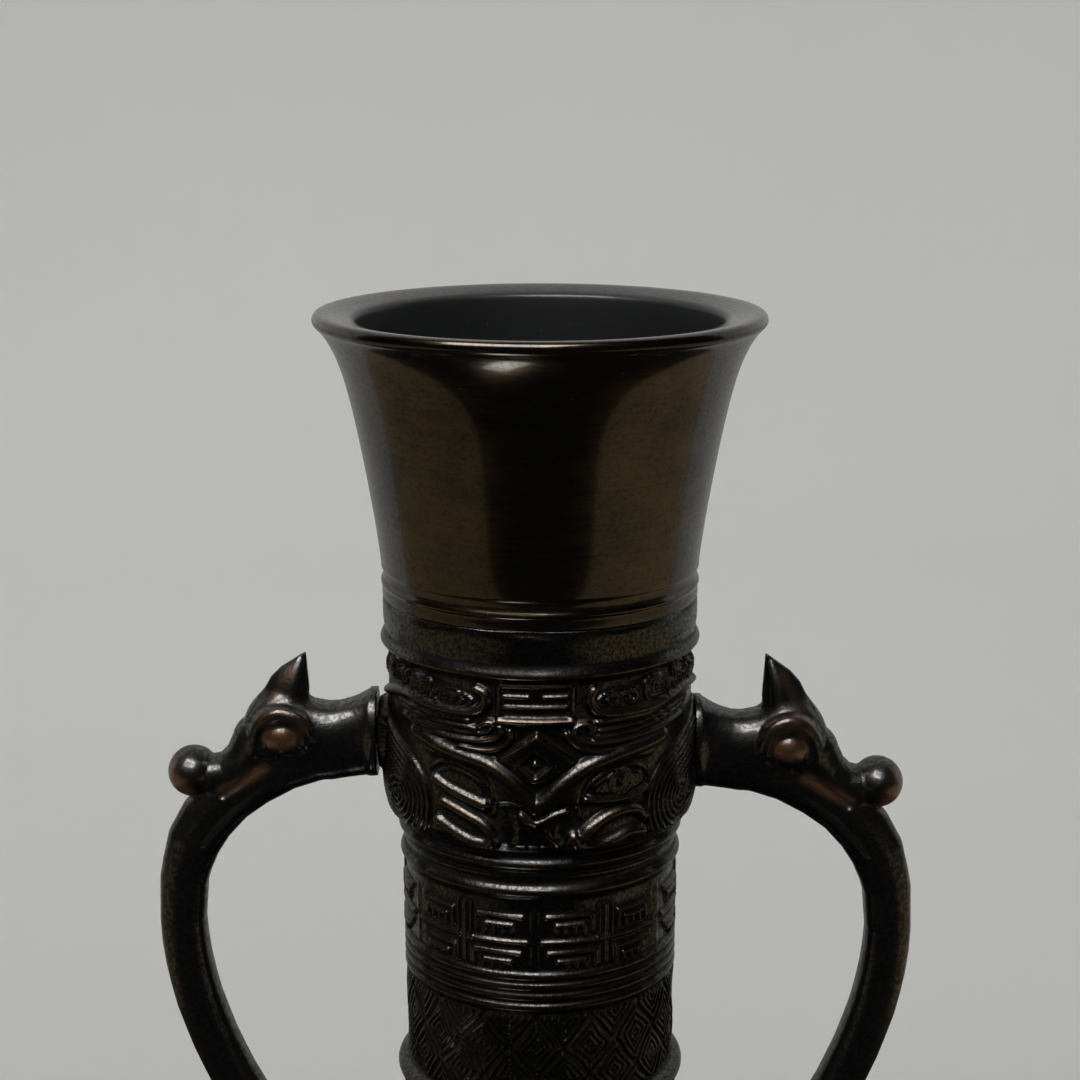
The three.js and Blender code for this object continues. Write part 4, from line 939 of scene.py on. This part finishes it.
def net_over_field():
    """Surface nets: one point in every cell that the surface crosses, joined across every crossed edge."""
    axes = [np.arange(low, high, NET_STEP) for low, high in zip(NET_LOW, NET_HIGH)]
    field = handle_base(axes[0][:, None, None], axes[1][None, :, None], axes[2][None, None, :])
    band = np.argwhere(np.abs(field) < NET_BAND)
    at = np.stack([axes[i][band[:, i]] for i in range(3)], 1)
    field[tuple(band.T)] = handle_shape(*at.T)
    solid = field < 0
    shape = np.array(field.shape) - 1
    total = np.zeros((*shape, 3))
    count = np.zeros(shape)
    corner = [(i, j, k) for i in (0, 1) for j in (0, 1) for k in (0, 1)]

    def window(values, c):
        return values[c[0]:c[0] + shape[0], c[1]:c[1] + shape[1], c[2]:c[2] + shape[2]]

    for a in corner:
        for axis in range(3):
            if a[axis]:
                continue
            b = tuple(v + (i == axis) for i, v in enumerate(a))
            fa, fb = window(field, a), window(field, b)
            crossed = window(solid, a) != window(solid, b)
            share = np.where(crossed, fa / np.where(crossed, fa - fb, 1), 0)
            count += crossed
            for i in range(3):
                total[..., i] += np.where(crossed, a[i] + (share if i == axis else 0), 0)
    used = np.argwhere(count > 0)
    number = np.full(shape, -1)
    number[tuple(used.T)] = np.arange(len(used))
    points = np.array(NET_LOW) + (used + total[tuple(used.T)] / count[tuple(used.T)][:, None]) * NET_STEP
    faces = []
    for axis in range(3):
        u, v = [(1, 2), (2, 0), (0, 1)][axis]
        last = [slice(None)] * 3
        first = [slice(None)] * 3
        last[axis], first[axis] = slice(1, None), slice(None, -1)
        crossed = np.argwhere(solid[tuple(first)] != solid[tuple(last)])
        inward = solid[tuple(first)][tuple(crossed.T)]
        across_u, across_v = crossed[:, u], crossed[:, v]
        whole = (across_u > 0) & (across_v > 0) & (across_u < shape[u]) & (across_v < shape[v])
        crossed, inward = crossed[whole], inward[whole]
        ring = []
        for du, dv in [(-1, -1), (0, -1), (0, 0), (-1, 0)]:
            cell = crossed.copy()
            cell[:, u] += du
            cell[:, v] += dv
            ring.append(number[tuple(cell.T)])
        quad = np.stack(ring, 1)
        faces.append(np.where(inward[:, None], quad, quad[:, ::-1]))
    return points, np.vstack(faces)


net_points, net_faces = net_over_field()
for _ in range(PULL_ROUNDS):
    growth = field_normal(net_points)
    steep = (growth ** 2).sum(1)
    step = handle_shape(*net_points.T) / np.maximum(steep, 0.2)
    net_points = net_points - np.clip(step, -PULL_LIMIT, PULL_LIMIT)[:, None] * growth
growth = field_normal(net_points)
net_normals = growth / (np.linalg.norm(growth, axis=1)[:, None] + 1e-9)


def neighbour_mean(values, faces, count):
    """Average of each point's neighbours along the faces' edges."""
    total = np.zeros((count, values.shape[1]))
    number = np.zeros(count)
    for i, j in [(0, 1), (1, 2), (2, 3), (3, 0)]:
        for a, b in [(i, j), (j, i)]:
            np.add.at(total, faces[:, a], values[faces[:, b]])
            np.add.at(number, faces[:, a], 1)
    return total / np.maximum(number, 1)[:, None]


WORN_AND_REFLECTING = {  # lines where hands have thinned the patina: points, reach and share
    "brow": (BROW[1:5], 1.9, 1.0),
    "eye": ([(51.6, 88.6, 7.5), (55.0, 88.6, 7.2)], 2.3, 1.0),
    "muzzle": ([(57.0, 95.2, 5.4), (61.0, 98.0, 5.2), (66.0, 100.6, 5.2)], 1.7, 0.8),
    "nose": ([(77.4, 97.4, 2.5), (75.6, 100.6, 3.6)], 3.6, 1.2),
    "crest": ([(51.5, 75.6, 1.5), (55.5, 81.5, 3.5)], 2.0, 0.45),
    # along the strap's outer edge this copper is partly worn patina and partly a painted warm reflection
    "strap": ([(79.0, 116, 1.5), (80.9, 130, 1.5), (79.8, 142, 1.5), (76.2, 158, 1.5), (70.5, 171, 1.5)],
              2.6, 0.6),
}
net_rub = np.zeros(len(net_points))
for line, reach, share in WORN_AND_REFLECTING.values():
    away = along_line(*net_points.T, line)
    net_rub = np.maximum(net_rub, share * np.exp(-(away / reach) ** 2))

smoothed = net_points
for _ in range(SMOOTHING_ROUNDS):
    smoothed = neighbour_mean(smoothed, net_faces, len(net_points))
net_edge = ((net_points - smoothed) * net_normals).sum(1)
print("handle net:", len(net_points), "points")

# %% [markdown]
# Each handle holds by two tenons that run through the wall and are hammered over a washer inside. They are
# turned shapes, added to the same piece. The left handle is the right one turned half round, a millimetre
# or two off. The crest of the right casting stands a little taller, so what lies above the root of the
# crest is stretched upward.

# %% Both handles
HANDLE_OUT = {"left": 0.9, "right": -0.9}
HANDLE_UP = {"left": 1.2, "right": -1.2}
TENON_RADIUS, RIVET_RADIUS, RIVET_HEIGHT = 3.0, 4.4, 1.8
TENON_COLUMNS = 40


def tenon(side, root, drop, end_out):
    """Points and faces of one tenon with its rivet head, lying along X."""
    low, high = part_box(f"{side}_{root}_washer")
    seat = min(abs(low[0]), abs(high[0])) / MM - 0.05
    head = [(0.02, -RIVET_HEIGHT), (2.6, -RIVET_HEIGHT), (3.7, -1.45), (4.25, -0.9), (RIVET_RADIUS, -0.35),
            (4.3, 0), (TENON_RADIUS, 0.02)]
    rows = np.array([(r, seat + x) for r, x in head] + [(TENON_RADIUS, end_out), (0.02, end_out)])
    angle = np.arange(TENON_COLUMNS) / TENON_COLUMNS * TURN
    points = np.stack([np.repeat(rows[:, 1:2], TENON_COLUMNS, 1), rows[:, :1] * np.cos(angle),
                       rows[:, :1] * np.sin(angle) + Z_RIM - drop + HANDLE_UP[side]], -1)
    return points.reshape(-1, 3), grid_faces(len(rows), TENON_COLUMNS, closed_rows=False)


CREST_STRETCH = {"left": 0.0, "right": 0.14}
CREST_ROOT_DROP = 86
handles = []
for side, sign in (("left", -1), ("right", 1)):
    casting = np.stack([net_points[:, 0] + HANDLE_OUT[side], net_points[:, 1],
                        Z_RIM - net_points[:, 2] + HANDLE_UP[side]], 1)
    casting[:, 2] += np.clip(CREST_ROOT_DROP - net_points[:, 2], 0, None) * CREST_STRETCH[side]
    parts = [(casting, net_faces[:, ::-1])]
    parts.append(tenon(side, "upper", UPPER_FLANGE[2], UPPER_FLANGE[1]))
    parts.append(tenon(side, "lower", LOWER_FLANGE[2], LOWER_FLANGE[1]))
    start = np.cumsum([0] + [len(points) for points, _ in parts])
    points = np.vstack([points for points, _ in parts]) * [sign, sign, 1]
    faces = np.vstack([faces + begin for (_, faces), begin in zip(parts, start)])
    flat = np.zeros(len(points) - len(casting))
    handle = make_mesh(f"beast_handle_{side}", points, faces, edge=np.concatenate([net_edge, flat]),
                       rub=np.concatenate([net_rub, flat]))
    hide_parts(f"{side}_handle")
    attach(handle, "root")
    handles.append(handle)
    print(handle.name, "reaches", round(float(np.abs(points[:, 0]).max()), 2), "mm from the axis")

# %% [markdown]
# A finish is a small program that runs at every point of the surface. Written with nodes it soon becomes a
# tangle, so one small class wraps a socket and lets sums be written as sums: each plus or times adds one
# Math node. Lengths are in millimetres here too, because the surface position is scaled once at the start.

# %% Shader sums
class Signal:
    """An output socket that can be added, subtracted and multiplied like a number."""

    def __init__(self, tree, socket):
        self.tree = tree
        self.socket = socket

    def node(self, kind, settings=None, inputs=None):
        """Adds a node: its settings first, then its inputs, each a plain value or another signal."""
        made = self.tree.nodes.new(kind)
        for name, value in (settings or {}).items():
            setattr(made, name, value)
        for name, value in (inputs or {}).items():
            if isinstance(value, Signal):
                self.tree.links.new(value.socket, made.inputs[name])
            else:
                made.inputs[name].default_value = value
        return made

    def sum_node(self, operation, *values):
        vectors = any(isinstance(v, Signal) and v.socket.type in {"VECTOR", "RGBA"} for v in values)
        kind = "ShaderNodeVectorMath" if vectors else "ShaderNodeMath"
        if vectors:
            values = [v if isinstance(v, Signal) else (v, v, v) for v in values]
        made = self.node(kind, {"operation": operation}, dict(enumerate(values)))
        return Signal(self.tree, made.outputs[0])

    def __add__(self, other):
        return self.sum_node("ADD", self, other)

    def __radd__(self, other):
        return self.sum_node("ADD", other, self)

    def __sub__(self, other):
        return self.sum_node("SUBTRACT", self, other)

    def __rsub__(self, other):
        return self.sum_node("SUBTRACT", other, self)

    def __mul__(self, other):
        return self.sum_node("MULTIPLY", self, other)

    def __rmul__(self, other):
        return self.sum_node("MULTIPLY", other, self)

    def step(self, low, high):
        """Nought below low, one above high, and smooth between."""
        made = self.node("ShaderNodeMapRange", {"interpolation_type": "SMOOTHSTEP"},
                         {"Value": self, "From Min": low, "From Max": high})
        return Signal(self.tree, made.outputs[0])

    def noise(self, size, detail=3.0, roughness=0.55, stretch=(1, 1, 1)):
        """Cloudy noise whose lumps are about one size across, in millimetres."""
        scaled = self.node("ShaderNodeVectorMath", {"operation": "MULTIPLY"}, {0: self, 1: stretch})
        made = self.node("ShaderNodeTexNoise", {}, {"Vector": Signal(self.tree, scaled.outputs[0]),
                                                    "Scale": 1 / size, "Detail": detail,
                                                    "Roughness": roughness})
        return Signal(self.tree, made.outputs[0])

    def specks(self, size, share):
        """Small round specks, each about size across where share is small."""
        made = self.node("ShaderNodeTexVoronoi", {}, {"Vector": self, "Scale": 1 / size})
        return 1 - Signal(self.tree, made.outputs["Distance"]).step(share * 0.5, share)

    def mix(self, low, high):
        """Low where this signal is nought and high where it is one; both are colours."""
        made = self.node("ShaderNodeMix", {"data_type": "RGBA"})
        self.tree.links.new(self.socket, made.inputs[0])
        for index, colour in ((6, low), (7, high)):
            if isinstance(colour, Signal):
                self.tree.links.new(colour.socket, made.inputs[index])
            else:
                made.inputs[index].default_value = (*colour, 1)
        return Signal(self.tree, made.outputs[2])


def new_finish(name, **fixed):
    """A material with one Principled shader; fixed values go straight to the shader's own sockets."""
    material = bpy.data.materials.new(name)
    material.use_nodes = True
    tree = material.node_tree
    shader = tree.nodes["Principled BSDF"]
    for label, value in fixed.items():
        shader.inputs[label.replace("_", " ")].default_value = value
    where = tree.nodes.new("ShaderNodeTexCoord")
    place = Signal(tree, where.outputs["Object"]) * (1 / MM)
    return material, shader, place


def drive(shader, place, label, signal):
    place.tree.links.new(signal.socket, shader.inputs[label])


def roughen(shader, place, height, depth, strength=1.0):
    """Turns a height signal, from nought to one, into fine bumps that are depth millimetres high."""
    made = place.node("ShaderNodeBump", {}, {"Height": height, "Distance": depth * MM, "Strength": strength})
    place.tree.links.new(made.outputs[0], shader.inputs["Normal"])


def point_number(place, name):
    """The number that was stored at the mesh's points under this name."""
    made = place.node("ShaderNodeAttribute", {"attribute_name": name})
    return Signal(place.tree, made.outputs["Fac"])


def height_of(place):
    made = place.node("ShaderNodeSeparateXYZ", {}, {0: place})
    return Signal(place.tree, made.outputs[2])


# %% [markdown]
# Old cast bronze isn't golden. It is a dark brown that is nearly black, waxed, with a sandy skin from the
# mould. Where hands and cloths touch it, on ridges, the brown shows through, and in the grooves the wax and
# dust stay dull. The mesh carries that knowledge as numbers, so the finish only has to read them and add
# some unevenness.

# %% Cast bronze
PATINA_GROUND = (0.026, 0.023, 0.019)
PATINA_GREY = (0.036, 0.035, 0.035)
RUBBED_BROWN = (0.110, 0.069, 0.040)


def cast_bronze():
    material, shader, place = new_finish("cast_bronze", Metallic=1.0, Coat_IOR=1.78, Coat_Roughness=0.19)
    edge = point_number(place, "edge")
    clouds = place.noise(9.0, 3)
    grain = place.noise(1.0, 3, 0.6)
    grit = place.noise(0.7, 2, 0.7)
    rubbed = (edge + (clouds - 0.5) * 0.5 + (grain - 0.5) * 0.12).step(0.06, 0.46)
    sunk = (0 - edge + (grain - 0.5) * 0.08).step(0.02, 0.22)
    ground = clouds.step(0.42, 0.62).mix(PATINA_GROUND, PATINA_GREY)
    drive(shader, place, "Base Color", (rubbed * 0.9).mix(ground, RUBBED_BROWN))
    drive(shader, place, "Roughness", 0.27 + grain * 0.12 + sunk * 0.3)
    drive(shader, place, "Coat Weight", (0.2 + grit.step(0.42, 0.58) * 0.8) * (1 - sunk * 0.6))
    roughen(shader, place, grain * 0.6 + grit * 0.4, 0.2, 0.8)
    return material


# %% [markdown]
# The trumpet was turned and polished, then it darkened. It mirrors the studio softly, and the tool left
# fine lines that all run round the axis. So its noise is squeezed flat: long along the turning direction,
# very short in height.

# %% Polished bronze
TURNED_DARK = (0.022, 0.018, 0.013)
TURNED_BROWN = (0.100, 0.068, 0.034)
INNER_GREY = (0.055, 0.060, 0.060)
DUST_GREY = (0.40, 0.39, 0.36)


def polished_bronze():
    material, shader, place = new_finish("polished_bronze", Coat_IOR=1.65, Coat_Roughness=0.11)
    lines = place.noise(2.4, 4, 0.7, stretch=(0.18, 0.18, 7.0))
    clouds = place.noise(13.0, 5, 0.65, stretch=(1, 1, 1.6)) * 0.6 + lines * 0.4
    pits = place.specks(2.6, 0.07)
    height = height_of(place)
    in_mouth = height.step(Z_RIM - 12, Z_RIM - 9) * (1 - height.step(Z_RIM - 7, Z_RIM - 4))
    within = point_number(place, "within")
    dust = place.specks(1.7, 0.12) * in_mouth * within
    skin = clouds.step(0.36, 0.64).mix(TURNED_DARK, TURNED_BROWN)
    skin = within.mix(skin, INNER_GREY)
    drive(shader, place, "Base Color", (dust * 0.5).mix(skin, DUST_GREY))
    drive(shader, place, "Metallic", 1 - within * 0.6)
    grit = place.noise(0.9, 3, 0.7)
    drive(shader, place, "Coat Weight", (1 - within * 0.7) * (1 - grit.step(0.45, 0.7) * 0.5))
    drive(shader, place, "Roughness", 0.15 + lines * 0.1 + clouds * 0.08 + pits * 0.2 + within * 0.25)
    roughen(shader, place, lines * 0.7 - pits * 0.6, 0.05, 0.8)
    return material


# %% [markdown]
# The handles are smooth where fingers go and sandy in the hollows. On brow, eye, nose and along the strap's
# outer edge the patina is thin and a warm copper brown shines through; on the strap's outer edge the same
# copper is also a painted warm reflection.

# %% Handle bronze
HANDLE_DARK = (0.056, 0.054, 0.052)
HANDLE_COPPER = (0.260, 0.110, 0.042)


def handle_bronze():
    material, shader, place = new_finish("handle_bronze", Coat_IOR=1.8, Coat_Roughness=0.18)
    edge = point_number(place, "edge")
    rub = point_number(place, "rub")
    clouds = place.noise(9.0, 3)
    grain = place.noise(0.6, 4, 0.6)
    # copper on worn places, and along the strap's outer edge also a painted warm reflection
    rubbed = (rub + (clouds - 0.5) * 0.7).step(0.12, 0.85)
    sunk = (0 - edge + (clouds - 0.5) * 0.05).step(0.01, 0.12)
    drive(shader, place, "Base Color", (rubbed * 0.8).mix(HANDLE_DARK, HANDLE_COPPER))
    grit = place.noise(1.0, 2, 0.7)
    sand = 1 - rub.step(0.2, 0.9)
    drive(shader, place, "Metallic", 1 - rubbed * 0.35)
    drive(shader, place, "Roughness", 0.27 + grain * 0.14 + sunk * 0.2 + clouds * 0.08)
    drive(shader, place, "Coat Weight", 1 - sand * (0.8 - grit.step(0.42, 0.58) * 0.8) - sunk * 0.3)
    roughen(shader, place, grain * 0.5 + grit * 0.5, 0.16, 0.8)
    return material


# %% [markdown]
# Base plate, washers and solder are never in the light, but a picture from below or a cut model shows them.
# Sheet bronze has rolling lines, the washers were turned and bruised by the hammer, and solder has a dull
# lumpy skin.

# %% Plate, washers and solder
PLATE_CLEAN, PLATE_STAINED = (0.30, 0.20, 0.10), (0.12, 0.085, 0.05)
WASHER_CLEAN, WASHER_BRUISED = (0.42, 0.30, 0.15), (0.22, 0.15, 0.08)
SOLDER_PALE, SOLDER_DULL = (0.36, 0.36, 0.35), (0.20, 0.20, 0.19)


def plate_bronze():
    material, shader, place = new_finish("plate_bronze", Metallic=0.9)
    rolled = place.noise(5.0, 4, 0.6, stretch=(0.15, 2.5, 1))
    stain = place.noise(14.0, 4, 0.65)
    drive(shader, place, "Base Color", stain.step(0.35, 0.7).mix(PLATE_CLEAN, PLATE_STAINED))
    drive(shader, place, "Roughness", 0.36 + rolled * 0.2 + stain * 0.1)
    roughen(shader, place, rolled, 0.05, 0.5)
    return material


def washer_bronze():
    material, shader, place = new_finish("washer_bronze", Metallic=1.0)
    bruise = place.noise(2.2, 3, 0.5)
    fine = place.noise(0.5, 3, 0.6)
    drive(shader, place, "Base Color", bruise.step(0.4, 0.65).mix(WASHER_CLEAN, WASHER_BRUISED))
    drive(shader, place, "Roughness", 0.34 + fine * 0.25)
    roughen(shader, place, bruise * 0.7 + fine * 0.3, 0.12, 0.5)
    return material


def soft_solder():
    material, shader, place = new_finish("soft_solder", Metallic=0.85)
    lumps = place.noise(1.8, 3, 0.5)
    fine = place.noise(0.35, 3, 0.6)
    drive(shader, place, "Base Color", lumps.step(0.35, 0.7).mix(SOLDER_PALE, SOLDER_DULL))
    drive(shader, place, "Roughness", 0.42 + fine * 0.22)
    roughen(shader, place, lumps * 0.8 + fine * 0.2, 0.18, 0.6)
    return material


FINISH_OF_SLOT = {
    "cast_bronze": cast_bronze(), "polished_bronze": polished_bronze(), "handle_bronze": handle_bronze(),
    "plate_bronze": plate_bronze(), "washer_bronze": washer_bronze(), "solder": soft_solder(),
}
body.data.materials.append(FINISH_OF_SLOT["cast_bronze"])
mouth.data.materials.append(FINISH_OF_SLOT["polished_bronze"])
for handle in handles:
    handle.data.materials.append(FINISH_OF_SLOT["handle_bronze"])
replaced = {"vase_body", "mouth_flare", "left_handle", "right_handle"}
for part in frame["record"]["subparts"]:
    if part["node"] in replaced:
        continue
    node = frame["nodes"][part["node"]]
    for material_slot in node.material_slots:
        material_slot.material = FINISH_OF_SLOT[part["material_slot"]]
print("finishes:", sorted(FINISH_OF_SLOT))

# %% [markdown]
# The studio is a round pale room without corners, so every view has the same calm background. Dark polished
# metal shows only what it mirrors, so the lamps are placed by looking at the reflections wanted: warm
# panels on the floor at both sides for the brown bands, a pale card behind for the bright outline, one
# large softbox overhead for the lip and the upper edges, and nothing at all in front, which keeps the
# middle of the vase deep black. These lamps are seen by polished metal only; the room's own even light
# comes from two others that metal doesn't mirror. A small card on the floor makes the cool spot under the
# lip. Its light leaves in a narrow cone, as through a honeycomb grid, so that it glints nowhere else; a
# narrow cone is brighter for the same power, which the last factor takes back.

# %% Studio room
ROOM_RADIUS, ROOM_COVE, ROOM_HEIGHT = 1.55, 0.45, 2.3
ROOM_COLUMNS = 96
PAINT_PALE, PAINT_SHADE = (0.80, 0.80, 0.785), (0.77, 0.77, 0.76)

cove = [(ROOM_RADIUS - ROOM_COVE * (1 - math.sin(a)), ROOM_COVE * (1 - math.cos(a)))
        for a in np.linspace(0, math.pi / 2, 14)]
floor_rows = [(0.001, 0), (0.4, 0), (0.8, 0)]
room_rows = np.array([*floor_rows, *cove, (ROOM_RADIUS, 1.2), (ROOM_RADIUS, ROOM_HEIGHT)]) / MM
room_points = turned_points(room_rows, ROOM_COLUMNS).reshape(-1, 3)
room_faces = grid_faces(len(room_rows), ROOM_COLUMNS, closed_rows=False)[:, ::-1]
room = make_mesh("studio_room", room_points, room_faces)
room_finish, room_shader, room_place = new_finish("studio_paint", Roughness=0.9)
paint = room_place.noise(260.0, 2)
drive(room_shader, room_place, "Base Color", paint.mix(PAINT_PALE, PAINT_SHADE))
room.data.materials.append(room_finish)
room.visible_glossy = False

# %% Lamps: place, what they look at, size, colour, brightness, and what they serve
MIRRORED, ROOM_ONLY = "mirrored", "room only"
SOFT_WHITE, ROOM_WHITE, CARD_WHITE = (1.0, 0.99, 0.97), (1.0, 1.0, 0.985), (1.0, 1.0, 0.98)
WARM, COOL = (1.0, 0.78, 0.45), (0.93, 0.99, 1.0)
LAMPS = {
    "overhead_softbox": ((-0.25, -0.54, 1.29), (0, 0, 0.25), (1.0, 0.7), SOFT_WHITE, 6.0, MIRRORED),
    "room_light": ((0.0, 0.0, 2.25), (0, 0, 0), (2.0, 2.0), ROOM_WHITE, 0.74, ROOM_ONLY),
    "backdrop_wash": ((-0.3, 0.3, 2.0), (-0.2, 1.5, 1.3), (1.4, 0.4), ROOM_WHITE, 7.3, ROOM_ONLY),
    "left_warm_floor": ((-0.80, -0.25, 0.002), (-0.80, -0.25, 1), (1.0, 1.0), WARM, 0.15, MIRRORED),
    "right_warm_floor": ((0.80, -0.25, 0.002), (0.80, -0.25, 1), (1.0, 1.0), WARM, 0.20, MIRRORED),
    "gridded_card": ((-0.066, -0.098, 0.003), (-0.006, -0.041, 0.3145), (0.06, 0.09), COOL, 5.0, MIRRORED),
    "back_card_low": ((0.0, 0.26, 0.15), (0, -1, 0.15), (2.8, 0.3), CARD_WHITE, 0.2, MIRRORED),
    "back_card_high": ((0.0, 0.26, 0.60), (0, -1, 0.60), (2.8, 0.6), CARD_WHITE, 0.30, MIRRORED),
}
GRIDS = {"gridded_card": math.radians(24)}  # full angle of the cone
for lamp_name, (place_at, look_at, size, colour, brightness, serves) in LAMPS.items():
    lamp = bpy.data.lights.new(lamp_name, "AREA")
    lamp.shape = "RECTANGLE"
    lamp.size, lamp.size_y = size
    lamp.color = colour
    lamp.energy = brightness * math.pi * size[0] * size[1]
    if lamp_name in GRIDS:
        lamp.spread = GRIDS[lamp_name]
        lamp.energy *= 1 - (lamp.spread / 2) / math.tan(lamp.spread / 2)
    holder = bpy.data.objects.new(lamp_name, lamp)
    holder.location = place_at
    holder.rotation_euler = (Vector(look_at) - Vector(place_at)).to_track_quat("-Z", "Y").to_euler()
    holder.visible_camera = False
    holder.visible_glossy = serves != ROOM_ONLY
    holder.visible_diffuse = serves != MIRRORED
    bpy.context.scene.collection.objects.link(holder)
    print(lamp_name, round(lamp.energy, 2), "W")

AIR_COLOUR, AIR_STRENGTH = (0.9, 0.95, 1.0), 0.015
world = bpy.data.worlds.new("studio_air")
world.use_nodes = True
world.node_tree.nodes["Background"].inputs["Color"].default_value = (*AIR_COLOUR, 1)
world.node_tree.nodes["Background"].inputs["Strength"].default_value = AIR_STRENGTH
bpy.context.scene.world = world
bpy.context.scene.view_settings.view_transform = "Standard"
